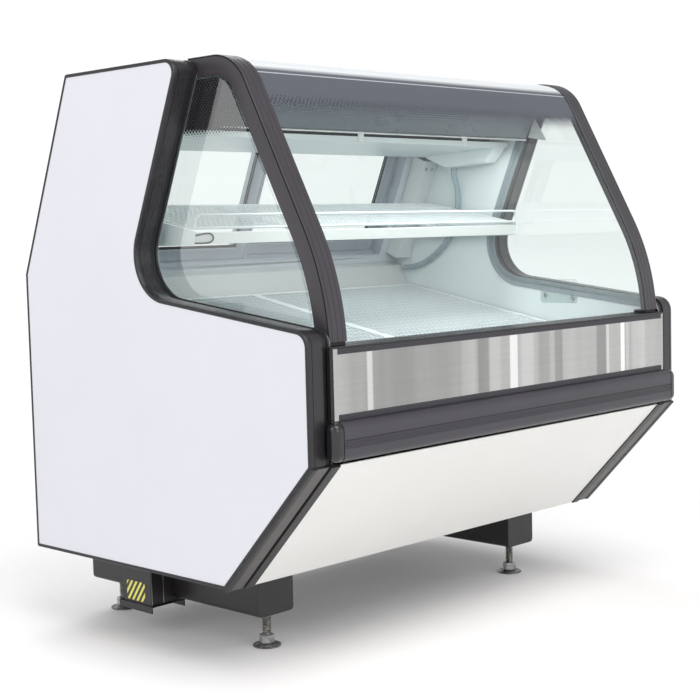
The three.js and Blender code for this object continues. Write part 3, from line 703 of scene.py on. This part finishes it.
def corner_profile(sign, side):
    across, down = SLANT_FOOT[0], SLANT_TOP[1] - WALL_BOTTOM
    run = math.hypot(across, down)
    slant = turned(*SLANT_TOP[:2], math.atan2(-down, across))
    section = [
        (0, -0.3), (0, -5), (1, -6), (12, -6), (13, -5), (13.4, -4.4), (45, -4.4), (45.4, -2.4), (51, -2.4),
        (51.4, -6.2), (52.4, -7), (75.8, -7), (77, -5.8), (77, -0.3),
    ]
    # The local frame's "up" points into the case, so the profile stands out at negative heights.
    # The groove faces take painted shade.
    dark, light, line = 0, 1, 2
    marks = [dark] * 5 + [light] + [line] * 3 + [dark] * 5
    bar = Solid(slant)
    outline = [(sign * (WALL_OUTER - inwards), out) for inwards, out in section]
    bar.layers([[(x, along, out) for x, out in outline] for along in (-2, run + 2)], marks=marks)
    bar.piece(f"slant_profile_{side}", [DARK_STRIP, LIGHT_STRIP, PAINTED_SHADE],
              [f"corner_profile_{side}"])


def clip_plate(sign, side):
    """Clear plate on the inner wall that keys the side glass, with its two screws."""
    face = WALL_INNER - 0.4
    thickness = 1.6
    plate = Solid()
    plate.prism("x", rectangle(246, 366, 712, 776, 8), sign * face, sign * (face - thickness))
    plate.piece(f"glass_clip_{side}", CLIP, bevel=0.4)
    screws = Solid()
    for depth, height in ((350, 734), (262, 726)):
        screw_head(screws, "x", (sign * (face - thickness - 0.1), depth, height), -sign, 5.5)
    screws.piece(f"glass_clip_screws_{side}", STEEL)


def screw_head(solid, axis, centre, outwards, radius):
    """A pan head, with a thin raised cross where the driver goes."""
    rise = 0.5 * radius * outwards
    profile = [
        (0, 0), (radius, 0), (radius, rise * 0.4), (radius * 0.85, rise * 0.85),
        (radius * 0.5, rise), (0.01, rise), (0, rise),
    ]
    solid.lathe(axis, centre, profile, 20)
    order = ORDER[axis]
    for long, short in ((0.62, 0.12), (0.12, 0.62)):
        outline = rectangle(-long * radius, long * radius, -short * radius, short * radius)
        solid.layers([[[c + d for c, d in zip(order(a, b, at), centre)] for a, b in outline]
                      for at in (rise, rise * 1.06)])


both_ends(end_wall)
both_ends(corner_profile)
both_ends(clip_plate)

# ---------------------------------------------------------------- insulated body
refined("insulated_tub", TUB_GREY, 1.5)
refined("lower_front_panel", WARM_WHITE, 0.6)
refined("top_cover", COVER_WHITE, 1.5)
refined("machine_floor", STEEL_BLACK, 0.5)
refined("rear_grille", WHITE, 0.3)


def grille_louvres():
    """A pressed hood over each slot of the rear grille."""
    _, (_, back), (bottom, _) = span("rear_grille")
    rows, pitch = 11, 26
    hoods = Solid()
    for row in range(rows):
        height = bottom + 60 + row * pitch
        for start in (-500, -260):
            lower = [(back + 0.1, height + 12), (back + 7, height + 5), (back + 8.2, height + 1)]
            upper = [(back + 9.4, height + 1.4), (back + 8.2, height + 6), (back + 0.1, height + 14.5)]
            hoods.prism("x", lower + upper, start - 4, start + 204)
    hoods.piece("grille_louvres", WHITE, bevel=0.4)
    screws = Solid()
    for x in (-560, -30, 200, 560):
        for height in (bottom + 14, 612):
            screw_head(screws, "y", (x, back + 0.1, height), 1, 4.5)
    screws.piece("grille_screws", STEEL)


grille_louvres()


# ---------------------------------------------------------------- controls at the rear
def controls():
    _, (_, face), (bottom, top) = span("control_panel")
    refined("control_panel", BLACK, 2.5)
    (knob_low, knob_high), _, _ = span("thermostat_knob")
    knob_x = (knob_low + knob_high) / 2
    middle = (bottom + top) / 2
    count, sweep = 9, 270
    ticks = Solid()
    for tick in range(count):
        angle = math.radians((tick / (count - 1) - 0.5) * sweep)
        inner, outer = 23.5, 27 + tick * 0.25
        side = Vector((math.cos(angle), -math.sin(angle))) * 0.5
        near = Vector((math.sin(angle), math.cos(angle))) * inner
        far = Vector((math.sin(angle), math.cos(angle))) * outer
        outline = [near - side, near + side, far + side, far - side]
        ticks.prism("y", [(knob_x - p.x, middle + p.y) for p in outline], face, face + 0.25)
    ticks.piece("dial_ticks", LAMP_WHITE)

    knob = Solid()
    base, radius = face + 0.5, 19
    grip = []
    for i in range(72):
        reach = radius - (1.1 if i % 4 > 1 else 0)
        angle = math.radians(5 * i)
        grip.append((knob_x + reach * math.cos(angle), middle + reach * math.sin(angle)))
    knob.prism("y", grip, base, base + 12)
    knob.prism("y", rectangle(knob_x - 3, knob_x + 3, middle - 17, middle + 17, 2), base + 11.8, base + 16.5)
    knob.piece("thermostat_dial", CHARCOAL, ["thermostat_knob"], "knob", bevel=0.6)
    pointer = Solid()
    pointer.box((knob_x - 0.8, knob_x + 0.8), (base + 16.5, base + 16.8), (middle + 4, middle + 16))
    pointer.piece("dial_pointer", LAMP_WHITE, body="knob")
    refined("lamp_switch", RUBBER, 0.8)


controls()


# ---------------------------------------------------------------- front trim
def front_band():
    (left, right), (front, _), (bottom, top) = span("front_band")
    back = -0.3
    gap, play = 8, 0.3
    # Near-black fillers between the band and the end walls: painted shade in the recess there.
    ends = Solid()
    for x in (left, right - gap + play):
        ends.box((x, x + gap - play), (front + 2, back), (bottom, top))
    ends.piece("band_end_painted_shade", PAINTED_SHADE)
    left, right = left + gap, right - gap
    sheet = Solid()
    sheet.prism("z", [
        (left, back), (left, front + 2), (left + 0.6, front + 0.6), (left + 2, front),
        (right - 2, front), (right - 0.6, front + 0.6), (right, front + 2), (right, back),
    ], bottom, top)
    sheet.piece("stainless_band", STAINLESS, ["front_band"])
    ribs = 4
    strips = {"band_strip_lower": (bottom - 1, bottom + 12), "band_strip_upper": (top - 11, top)}
    for name, (low, high) in strips.items():
        proud = [(front - 0.1, low), (front - 1.6, low)]
        pitch = (high - low) / ribs
        for rib in range(ribs):
            base = low + rib * pitch
            proud += [(front - 1.9, base + 0.2 * pitch), (front - 1.9, base + 0.75 * pitch),
                      (front - 1.2, base + 0.85 * pitch), (front - 1.2, base + 0.98 * pitch)]
        proud += [(front - 0.1, high)]
        strip = Solid()
        strip.prism("x", proud, left + 12, right - 12)
        strip.piece(name, BUMPER)


def front_sill():
    (left, right), (front, rear), (low, top) = span("front_sill")
    under = span("front_band")[2][1] + 0.3
    grooved = [(-0.5, top)]
    for line in (8, 17, 26, 44):
        grooved += [(line, top), (line + 0.5, top - 0.8), (line + 1.6, top - 0.8), (line + 2.1, top)]
    grooved += [(58, top), (62, top - 1.2), (rear, top - 5), (rear, low)]
    inner = Solid()
    reach = WALL_INNER - 0.3
    inner.prism("x", [(-0.5, under), (3, under), (3, low), *reversed(grooved[1:]), grooved[0]], -reach, reach)
    nose = [(-0.4, under), (front + 0.6, under), (front, under + 0.7), (front, top - 1.2),
            (front + 1.2, top), (-4, top), (-3.6, top - 0.7), (-2.4, top - 0.7), (-2, top), (-0.4, top)]
    inner.prism("x", nose, left, right)
    inner.piece("sill_profile", BLACK, ["front_sill"])


def grooves(low, high, count, depth, width):
    """The [depth, height] points of fine lengthwise grooves cut into an upright face, bottom to top."""
    points = []
    pitch = (high - low) / count
    for groove in range(count):
        middle = low + (groove + 0.5) * pitch
        points += [(0, middle - width / 2), (depth, middle - width / 4), (depth, middle + width / 4),
                   (0, middle + width / 2)]
    return points


def bumper():
    (left, right), (front, back), (bottom, top) = span("front_bumper")
    middle = (bottom + top) / 2
    radius = 16  # of the section's four corners
    centres = [(back - radius, top - radius), (front + radius, top - radius),
               (front + radius, bottom + radius), (back - radius, bottom + radius)]
    quarters = []
    for turn, centre in enumerate(centres):
        angles = [math.radians(90 * turn + step) for step in range(0, 91, 6)]
        quarters.append([(centre[0] + radius * math.cos(angle), centre[1] + radius * math.sin(angle))
                         for angle in angles])
    rear_top, front_top, front_bottom, rear_bottom = quarters
    # Between the front corners: fine grooves, with a deeper seam a little above the middle.
    fine = grooves(middle - 13, middle + 1, 5, 0.8, 1.6)
    face = [(front + inset, height) for inset, height in reversed(fine)]
    deep = front + 1.8
    seam = [(front, middle + 5.4), (deep, middle + 4.6), (deep, middle + 3), (front, middle + 2.2)]
    rail = Solid()
    rail.prism("x", [*rear_top, *front_top, *seam, *face, *front_bottom, *rear_bottom], left, right)
    rail.piece("bumper_rail", BUMPER, ["front_bumper"])

    outline = rear_top + front_top + front_bottom + rear_bottom
    axis = (front + back) / 2
    half_depth, half_height = (back - front) / 2, (top - bottom) / 2
    length = span("bumper_cap_right")[0][1] - right
    swell = 13
    # [distance along the cap, how far its outline is drawn in]: a seam, a straight part and a dome.
    rise = [(0, 1.6), (2, 1.6), (2.3, 0), (length - swell, 0)]
    for turn in range(9, 91, 9):
        angle = math.radians(turn)
        rise.append((length - swell + swell * math.sin(angle), swell * (1 - math.cos(angle))))

    def cap(sign, side):
        loops = []
        for along, inset in rise:
            x = sign * (right + along)
            deep, tall = 1 - inset / half_depth, 1 - inset / half_height
            loops.append([(x, axis + (a - axis) * deep, middle + (b - middle) * tall) for a, b in outline])
        solid = Solid()
        solid.layers(loops)
        solid.piece(f"bumper_end_{side}", GLOSS_BUMPER,
                    [f"bumper_cap_{side}"], smooth=50)

    both_ends(cap)


front_band()
front_sill()
bumper()

# ---------------------------------------------------------------- lift-up front
ARCH_X = span("arch_right")[0]
ARCH_DEPTH = 42


def front_glass():
    half = ARCH_X[0] - 0.3
    pane = Solid()
    pane.sweep("x", CANOPY_CORNERS, [
        (-half, 3.6), (-half + 0.6, 3), (half - 0.6, 3), (half, 3.6),
        (half, 7.4), (half - 0.6, 8), (-half + 0.6, 8), (-half, 7.4),
    ], step=2)
    pane.piece("curved_front_glass", FRONT_GLASS, ["front_glass"], "canopy")


def arch(sign, side):
    """Bent L profile: a face with fine ribs beside the glass, a groove, and a flange running back."""
    inner, outer = ARCH_X
    flange = 9
    section = [
        (inner, 1.2), (inner + 1.2, 0),
        (inner + 11, 0), (inner + 11.4, 0.7), (inner + 12.6, 0.7), (inner + 13, 0),
        (inner + 25, 0), (inner + 25.4, 0.7), (inner + 26.6, 0.7), (inner + 27, 0),
        (outer - 9, 0), (outer - 8.6, 0.7), (outer - 7.4, 0.7), (outer - 7, 0),
        (outer - 2.5, 0), (outer - 0.9, 0.4),
        (outer - 0.2, 1.2), (outer - 1.8, 1.8), (outer - 1.8, 3.6), (outer, 4.2), (outer, 9),
        (outer, ARCH_DEPTH - 3), (outer - 1, ARCH_DEPTH - 0.8), (outer - 3, ARCH_DEPTH),
        (outer - flange + 1, ARCH_DEPTH), (outer - flange, ARCH_DEPTH - 1), (outer - flange, flange + 2),
        (outer - flange - 2, flange), (inner + 1, flange), (inner, flange - 1),
    ]
    # The groove beside the flange takes painted shade.
    trim, gap = 0, 1
    marks = [trim] * 16 + [gap] * 3 + [trim] * 11
    profile = Solid()
    profile.sweep("x", CANOPY_CORNERS, [(sign * x, inset) for x, inset in section], step=2, marks=marks)
    profile.piece(f"arch_profile_{side}", [CHARCOAL, PAINTED_SHADE], [f"arch_{side}"], "canopy")

    # Rubber foot that lands on the sill.
    foot = Solid()
    near, far = sorted((sign * (inner + 2), sign * (outer - 2)))
    foot.prism("z", rectangle(near, far, 5, 42, 3), 694.4, 701.8)
    foot.piece(f"arch_foot_{side}", RUBBER, body="canopy", bevel=0.8)


front_glass()
both_ends(arch)
refined("canopy_top_rail", ALUMINIUM, 0.5)
refined("hinge_rod", STEEL, 0.3)


# ---------------------------------------------------------------- fixed side glasses
def side_glass(sign, side):
    corner_depth, corner_height, _ = WINDOW_CORNER
    slope = (corner_depth - WINDOW_TOP[0]) / (WALL_TOP - corner_height)
    rise = (corner_height - WINDOW_FRONT[1]) / corner_depth
    top = 1236
    front = 62
    rear_edge = rounded_path([
        (WINDOW_TOP[0] + slope * (WALL_TOP - top), top), WINDOW_CORNER,
        (front, WINDOW_FRONT[1] + rise * front),
    ], 14)
    front_edge = [point for point in rounded_path(CANOPY_CORNERS, ARCH_DEPTH + 4, step=2)
                  if point[1] > 728 and point[0] < 337]
    outer = sign * (WALL_INNER - 2.5)
    pane = Solid()
    pane.prism("x", [*rear_edge, *reversed(front_edge)], outer, outer - sign * 5)
    pane.marks[-2:] = [0, 1]
    pane.piece(f"side_pane_{side}", [SIDE_GLASS, PRINTED_GLASS[side]],
               [f"side_glass_{side}"], bevel=0.4)


both_ends(side_glass)


# ---------------------------------------------------------------- rear doors
refined("door_frame", DOOR_PAINT, 0.8)
refined("pilaster_left", POST_GREY, 1.2)
refined("pilaster_right", POST_GREY, 1.2)


def local_span(node, depth, height, angle):
    """A CAD node's size along the axes of a turned local frame."""
    cosine, sine = math.cos(angle), math.sin(angle)
    values = []
    for vertex in frame["nodes"][node].data.vertices:
        away = vertex.co.y / MM - WALL_FRONT - depth
        rise = vertex.co.z / MM - height
        values.append((vertex.co.x / MM, away * cosine + rise * sine, rise * cosine - away * sine))
    return [(min(v[i] for v in values), max(v[i] for v in values)) for i in range(3)]


def sliding_door(side):
    body = f"door_{side}"
    (left, right), (near, far), (bottom, top) = local_span(f"door_{side}_frame", *DOOR_PLANE)
    stile = 42
    corners = [(left, bottom), (right, bottom), (right, top), (left, top)]
    # [depth, inset towards the glass]: the profile has a groove and a bead on each side.
    section = [
        (near, 0.8), (near + 0.8, 0), (far - 0.8, 0), (far, 0.8),
        (far, 9), (far - 1.2, 9.6), (far - 1.2, 12), (far, 12.6), (far, 33), (far - 1, 35.5), (far - 1, 38),
        (far - 4.5, stile), (near + 4.5, stile), (near + 1, 38), (near + 1, 35.5), (near, 33),
        (near, 12.6), (near + 1.2, 12), (near + 1.2, 9.6), (near, 9),
    ]
    profile = Solid(leaning)
    profile.sweep("y", corners, section, closed=True)
    profile.piece(f"{body}_profile", DOOR_GREY, [f"{body}_frame"], body)
    pane = Solid(leaning)
    low = stile - 1
    outline = rectangle(left + low, right - low, bottom + low, top - low)
    pane.prism("y", outline, near + 5.2, near + 9.8)
    pane.piece(f"{body}_pane", GLASS, [f"{body}_glass"], body)
    gasket = Solid(leaning)
    for face, edge in ((near + 3.4, near + 5.1), (far - 5.1, far - 3.4)):
        lip = [(face, stile - 1.5), (edge, stile - 1.5), (edge, stile + 3), (face, stile + 1.5)]
        gasket.sweep("y", corners, lip, closed=True)
    gasket.piece(f"{body}_gasket", RUBBER, body=body)
    # Brush pile on the meeting stile, and a recessed pull on the other one.
    meeting = right - 5 if side == "left" else left + 5
    brush = Solid(leaning)
    face = far + 0.1 if side == "left" else near - 0.1
    reach = 6.5 if side == "left" else -6.5
    brush.box((meeting - 3, meeting + 3), sorted((face, face + reach)), (bottom + 4, top - 4))
    brush.piece(f"{body}_brush", BRISTLE, body=body, bevel=1.2)
    pull_x = left + 21 if side == "left" else right - 21
    middle = (bottom + top) / 2
    pull = Solid(leaning)
    outer = rectangle(pull_x - 9, pull_x + 9, middle - 48, middle + 48, 8)
    inner = rectangle(pull_x - 6, pull_x + 6, middle - 45, middle + 45, 5.5)
    pull.ring("y", outer, inner, far + 0.1, far + 2.2)
    pull.piece(f"{body}_pull", CHARCOAL, body=body, bevel=0.6)


sliding_door("left")
sliding_door("right")


def pilaster_bolts(side):
    """Pairs of bolts that hold the shelf brackets and the top of each upright."""
    (left, right), (near, _), (bottom, top) = local_span(f"pilaster_{side}", *DOOR_PLANE)
    bolts = Solid(leaning)
    for height in (bottom + 78, top - 24):
        for x in (left + 0.3 * (right - left), right - 0.3 * (right - left)):
            screw_head(bolts, "y", (x, near - 0.1, height), -1, 5)
    bolts.piece(f"pilaster_bolts_{side}", STEEL)


pilaster_bolts("left")
pilaster_bolts("right")


# ---------------------------------------------------------------- deck and shelf
def deck_pan(side):
    node = f"deck_pan_{side}"
    refined(node, PAN_SHADED, 1.5)
    (left, right), (front, rear), (_, top) = local_span(node, *DECK_PLANE)
    rim = 9
    metal = Solid(deck)
    metal.expanded_metal((left + rim, right - rim), (front + rim, rear - rim), top + 1.2)
    metal.piece(f"deck_mesh_{side}", SHELF_WHITE, smooth=60)
    border = Solid(deck)
    opening = rectangle(left + rim + 2, right - rim - 2, front + rim + 2, rear - rim - 2)
    border.ring("z", rectangle(left + 1, right - 1, front + 1, rear - 1), opening, top + 0.2, top + 3.6)
    border.piece(f"deck_border_{side}", SHELF_WHITE, bevel=1.0)


deck_pan("left")
deck_pan("right")


def shelf_sheet():
    (left, right), (front, rear), (low, top) = local_span("shelf_panel", *SHELF_PLANE)
    rim = 8
    metal = Solid(shelf)
    metal.expanded_metal((left + rim, right - rim), (front + rim, rear - rim), low + 0.6)
    metal.piece("shelf_mesh", SHELF_WHITE, ["shelf_panel"], smooth=60)
    border = Solid(shelf)
    opening = rectangle(left + rim + 2, right - rim - 2, front + rim + 2, rear - rim - 2)
    border.ring("z", rectangle(left, right, front, rear), opening, low, top)
    for x in (left + 320, right - 320):
        border.box((x - 5, x + 5), (front + rim, rear - rim), (low - 9, low - 0.1))
    border.piece("shelf_border", SHELF_WHITE, bevel=0.8)


def shelf_guard():
    (_, right), (near, far), (low, high) = local_span("shelf_guard", *SHELF_PLANE)
    radius = 3
    middle = (near + far) / 2
    rail = high - radius
    end = right - radius
    hoop = [(-end, middle, low + 1), (-end + 3, middle, rail),
            (end - 3, middle, rail), (end, middle, low + 1)]
    wires = Solid(shelf)
    wires.tube(bent(hoop, 13), radius, 14)
    wires.tube([(-end + 2, middle, low + radius), (end - 2, middle, low + radius)], radius, 14)
    wires.piece("guard_wires", SHELF_WHITE, ["shelf_guard"])


def shelf_bracket(sign, side):
    node = f"shelf_bracket_{side}"
    refined(node, SHELF_WHITE, 0.6)
    (low, high), _, _ = local_span(node, *SHELF_PLANE)
    face = low if sign > 0 else high
    screws = Solid(shelf)
    for along in (14, 34):
        screw_head(screws, "x", (face - sign * 0.1, along, -20), -sign, 4)
    screws.piece(f"bracket_screws_{side}", STEEL)


def shelf_lamp_cable():
    route = [(-566, -14, -13), (-560, -14, -13), (-548, -14, -11), (-534, -14, -9.5), (-522, -14, -10),
             (-514, -14, -15), (-512, -14, -21), (-516, -14, -27), (-526, -14, -30), (-542, -14, -30.5),
             (-556, -14, -30.5), (-560, -14, -30.5), (-566, -14, -30.5)]
    cable = Solid(shelf)
    cable.tube(spline(route, 5), 1.7, 10)
    cable.piece("lamp_lead", RUBBER, ["shelf_lamp_cable"])


shelf_sheet()
shelf_guard()
both_ends(shelf_bracket)
refined("shelf_channel", LAMP_WHITE, 0.8)
shelf_lamp_cable()


# ---------------------------------------------------------------- cooling parts
def fin_block(name, node, pitch, tube_rows):
    """Thin fins across the block, with straight tubes through them and an end plate at each side."""
    (left, right), (front, rear), (bottom, top) = span(node)
    margin = 4
    width = right - left - 2 * margin
    fins = Solid()
    count = int(width / pitch)
    for fin in range(count):
        x = left + margin + (fin + 0.5) * width / count
        fins.box((x - 0.3, x + 0.3), (front + 1, rear - 1), (bottom + 1, top - 1))
    fins.piece(name + "_fins", ALUMINIUM, [node])
    tubes = Solid()
    for x in (left, right - 2):
        tubes.box((x, x + 2), (front, rear), (bottom, top))
    for row in range(tube_rows):
        height = bottom + (row + 0.5) * (top - bottom) / tube_rows
        for depth in (front + (rear - front) * 0.25, front + (rear - front) * 0.75):
            tubes.tube([(left + 1, depth, height), (right - 1, depth, height)], 4.8, 10)
    tubes.piece(name + "_tubes", STEEL)


fin_block("evaporator", "evaporator_coil", 8, 3)
fin_block("condenser_block", "condenser", 6, 8)
refined("drip_pan", LINER, 2.0, segments=3)


def drain_hose():
    route = [(563, 640, 1085.3), (563.5, 641, 1068), (569, 641, 1050), (576, 641, 1030), (579, 641, 1000),
             (579, 644, 965), (579, 656, 925), (579, 681, 885), (579, 720, 850), (579, 765, 824),
             (579, 806, 811), (579, 848.5, 806)]
    hose = Solid()
    hose.tube(spline(route, 6), 8.5, 20)
    hose.piece("clear_drain_hose", HOSE, ["drain_hose"])


drain_hose()


def lamp_hood():
    (left, right), _, _ = span("lamp_hood")
    corners = [(452, 1259), (318, 1259, 36), (334, 1200, 12), (368, 1147, 2), (374, 1158)]
    sheet = Solid()
    sheet.sweep("x", corners, [(left, 0), (right, 0), (right, 1.6), (left, 1.6)], step=3)
    sheet.piece("hood_sheet", GREY, ["lamp_hood"], bevel=0.3)
    # White bead along the hood's lower edge.
    lip = Solid()
    lip.tube([(left + 1, 366, 1145.6), (right - 1, 366, 1145.6)], 2.2, 12)
    lip.piece("hood_lip", LAMP_WHITE)

    def gusset(sign, side):
        x = sign * (WALL_INNER - 48)
        plate = Solid()
        outline = rounded_path([(365, 1152, 2), (305, 1141, 2), (343, 1202, 3)], 0, True, 20)
        plate.prism("x", outline, x, x - sign * 1.6)
        plate.piece(f"hood_gusset_{side}", LAMP_WHITE, bevel=0.3)

    both_ends(gusset)


def hood_lamp():
    (left, right), (front, rear), (low, high) = span("hood_lamp")
    middle = ((front + rear) / 2, (low + high) / 2)
    radius = (high - low) / 2
    tube = Solid()
    profile = [(0, left + 24), (radius - 2, left + 24), (radius, left + 28), (radius, right - 28),
               (radius - 2, right - 24), (0, right - 24)]
    tube.lathe("x", (0, *middle), profile)
    tube.piece("lamp_glass", LAMP, ["hood_lamp"])
    ends = Solid()
    for low_x, high_x in ((left, left + 25), (right - 25, right)):
        cap = [(0, low_x), (radius - 1, low_x), (radius, low_x + 1),
               (radius, high_x - 1), (radius - 1, high_x), (0, high_x)]
        ends.lathe("x", (0, *middle), cap)
    front, rear = middle[0] - radius, middle[0] + radius
    clip_outside = rectangle(front - 2, rear + 2, low - 6, high + 2, 3)
    clip_inside = rectangle(front, rear, low, high, 3)
    for x in (-94, 286):
        ends.ring("x", clip_outside, clip_inside, x - 8, x + 8)
        # The clip's white tongue shows under the hood's lower edge.
        ends.box((x - 9, x + 9), (372, 375), (1124, 1150))
    ends.piece("lamp_ends_and_clips", LAMP_WHITE, bevel=0.5)


lamp_hood()
hood_lamp()

# ---------------------------------------------------------------- condensing unit
refined("compressor", STEEL_BLACK, 1.0, smooth=40)
refined("condenser_fan", ALUMINIUM, 0.4)
refined("fan_motor", STEEL_BLACK, 1.2)


# ---------------------------------------------------------------- base
for node in ("base_rail_left", "base_rail_right", "base_cross_member"):
    refined(node, STEEL_BLACK, 1.2)


def levelling_foot(end, side):
    node = f"foot_{end}_{side}"
    body = BODY_OF[node]
    (left, right), (front, rear), (_, top) = span(node)
    centre = ((left + right) / 2, (front + rear) / 2)
    pad = Solid()
    profile = [
        (0, 0), (30, 0), (31.6, 0.8), (32, 2.4), (31.2, 3.6), (29.2, 3.6), (28.4, 2.9), (24, 3.2),
        (23.2, 4.4), (21, 4.6), (20, 6), (0, 6),
    ]
    pad.lathe("z", (*centre, 0), profile, 48)
    pad.piece(f"foot_pad_{end}_{side}", DARK_ZINC, [node], body)
    nut = Solid()
    to_corner, chamfer, low, high = 17.3, 1.6, 6.2, 27
    angles = [math.radians(60 * i + 12) for i in range(6)]
    loops = []
    for height, share in ((low, 0.9), (low + chamfer, 1), (high - chamfer, 1), (high, 0.9)):
        reach = to_corner * share
        loops.append([(centre[0] + reach * math.cos(a), centre[1] + reach * math.sin(a), height)
                      for a in angles])
    nut.layers(loops)
    nut.piece(f"foot_nut_{end}_{side}", ZINC, body=body, bevel=0.5)
    stud = Solid()
    stud.thread(centre, 10.4, 6, high - 0.5, top)
    stud.piece(f"foot_stud_{end}_{side}", BRASSY, body=body, smooth=30)


for end in ("front", "rear"):
    for side in ("left", "right"):
        levelling_foot(end, side)


def connection_box():
    refined("connection_box", STEEL_BLACK, 1.0)
    (outer, _), _, _ = span("connection_box")
    face = outer + 4
    label = Solid()
    label.prism("x", rectangle(652, 719, 76, 121, 6), face - 0.35, face - 0.05)
    label.piece("striped_plate", TAPE)
    seam = Solid()
    seam.box((-525, -523.2), (629.2, 629.8), (72, 183))
    seam.box((outer + 5.5, outer + 7), (629.2, 629.8), (72, 183))
    for x in (-552, -506):
        screw_head(seam, "y", (x, 629.8, 172), -1, 3.2)
    seam.piece("box_seam_and_screws", STEEL)


connection_box()


# ---------------------------------------------------------------- stage, light and camera
def studio_floor():
    """Pale paper that catches the shadow near the case and runs out into the white backdrop."""
    s = Shader("studio_floor")
    paper = s.blend(s.noise(300, 2), tone(250, 248, 248), tone(252, 251, 251))
    matt = s.node("BsdfDiffuse", {"Color": paper, "Normal": s.bump(s.noise(2, 2), 0.05, 0.1)}).outputs[0]
    lit = s.node("Emission", {"Color": paper, "Strength": 0.06}).outputs[0]
    near = s.node("AddShader", {0: matt, 1: lit}).outputs[0]
    distance = s.node("VectorMath", {0: s.place}, operation="LENGTH").outputs["Value"]
    fade = {"Value": distance, "From Min": 0.9, "From Max": 2.0}
    reach = s.node("MapRange", fade, interpolation_type="SMOOTHSTEP")
    clear = s.node("BsdfTransparent").outputs[0]
    return s.end(s.node("MixShader", {0: reach.outputs[0], 1: near, 2: clear}).outputs[0])


def stage():
    floor_mesh = bpy.data.meshes.new("floor")
    reach = 30
    corners = [(a, b, 0) for a, b in rectangle(-reach, reach, -reach, reach)]
    floor_mesh.from_pydata(corners, [], [(0, 1, 2, 3)])
    floor_mesh.materials.append(studio_floor())
    floor = bpy.data.objects.new("floor", floor_mesh)
    bpy.context.scene.collection.objects.link(floor)

    world = bpy.data.worlds.new("studio")
    bpy.context.scene.world = world
    world.use_nodes = True
    tree = world.node_tree
    height = tree.nodes.new("ShaderNodeSeparateXYZ")
    tree.links.new(tree.nodes.new("ShaderNodeTexCoord").outputs["Generated"], height.inputs[0])
    walls = tree.nodes.new("ShaderNodeMapRange")
    walls.interpolation_type = "SMOOTHSTEP"
    for socket, value in {"From Min": 0.2, "From Max": 0.6, "To Min": 1.04, "To Max": 0.5}.items():
        walls.inputs[socket].default_value = value
    tree.links.new(height.outputs["Z"], walls.inputs["Value"])
    tree.links.new(walls.outputs[0], tree.nodes["Background"].inputs["Strength"])
    tree.nodes["Background"].inputs["Color"].default_value = (1.0, 1.0, 1.0, 1)


def soft_box(name, place, target, size, power):
    light = bpy.data.lights.new(name, "AREA")
    light.shape = "RECTANGLE"
    light.size, light.size_y = size
    light.energy = power
    made = bpy.data.objects.new(name, light)
    made.location = place
    made.rotation_mode = "QUATERNION"
    made.rotation_quaternion = (Vector(target) - Vector(place)).to_track_quat("-Z", "Y")
    bpy.context.scene.collection.objects.link(made)
    return made


def lights():
    soft_box("key_above", (-0.8, -2.4, 3.8), (0, 0, 0.7), (3.4, 2.4), 84)
    soft_box("fill_front", (-1.2, -3.4, 1.5), (0.1, 0, 0.85), (2.4, 1.6), 16)
    inside = soft_box("inside_top", (0.1, -0.1, 1.12), (0.1, -0.02, 0), (0.9, 0.16), 2.8)
    soft_box("fill_left", (-4.2, 0.2, 2.6), (0, 0, 0.6), (2.4, 2.4), 26)
    soft_box("top_rear", (0.6, 2.4, 3.6), (0, 0, 0.8), (3.4, 2.0), 52)
    inside.visible_glossy = False


def camera():
    """The photo's view: from the front and the customer's left, about 0.9 m above the floor."""
    yaw, pitch, roll = 0.8007, -0.0827, -0.0253
    forward = Vector((math.sin(yaw) * math.cos(pitch), math.cos(yaw) * math.cos(pitch), math.sin(pitch)))
    level = Vector((math.cos(yaw), -math.sin(yaw), 0))
    upright = level.cross(forward)
    right = level * math.cos(roll) + upright * math.sin(roll)
    up = upright * math.cos(roll) - level * math.sin(roll)
    data = bpy.data.cameras.new("camera")
    data.sensor_width = 36
    data.lens = 74.05
    made = bpy.data.objects.new("camera", data)
    turn = Matrix((right, up, -forward)).transposed()
    made.matrix_world = Matrix.Translation((-2.5624, -2.4239, 0.9184)) @ turn.to_4x4()
    bpy.context.scene.collection.objects.link(made)
    bpy.context.scene.camera = made


stage()
lights()
camera()
bpy.context.scene.view_settings.view_transform = "Standard"
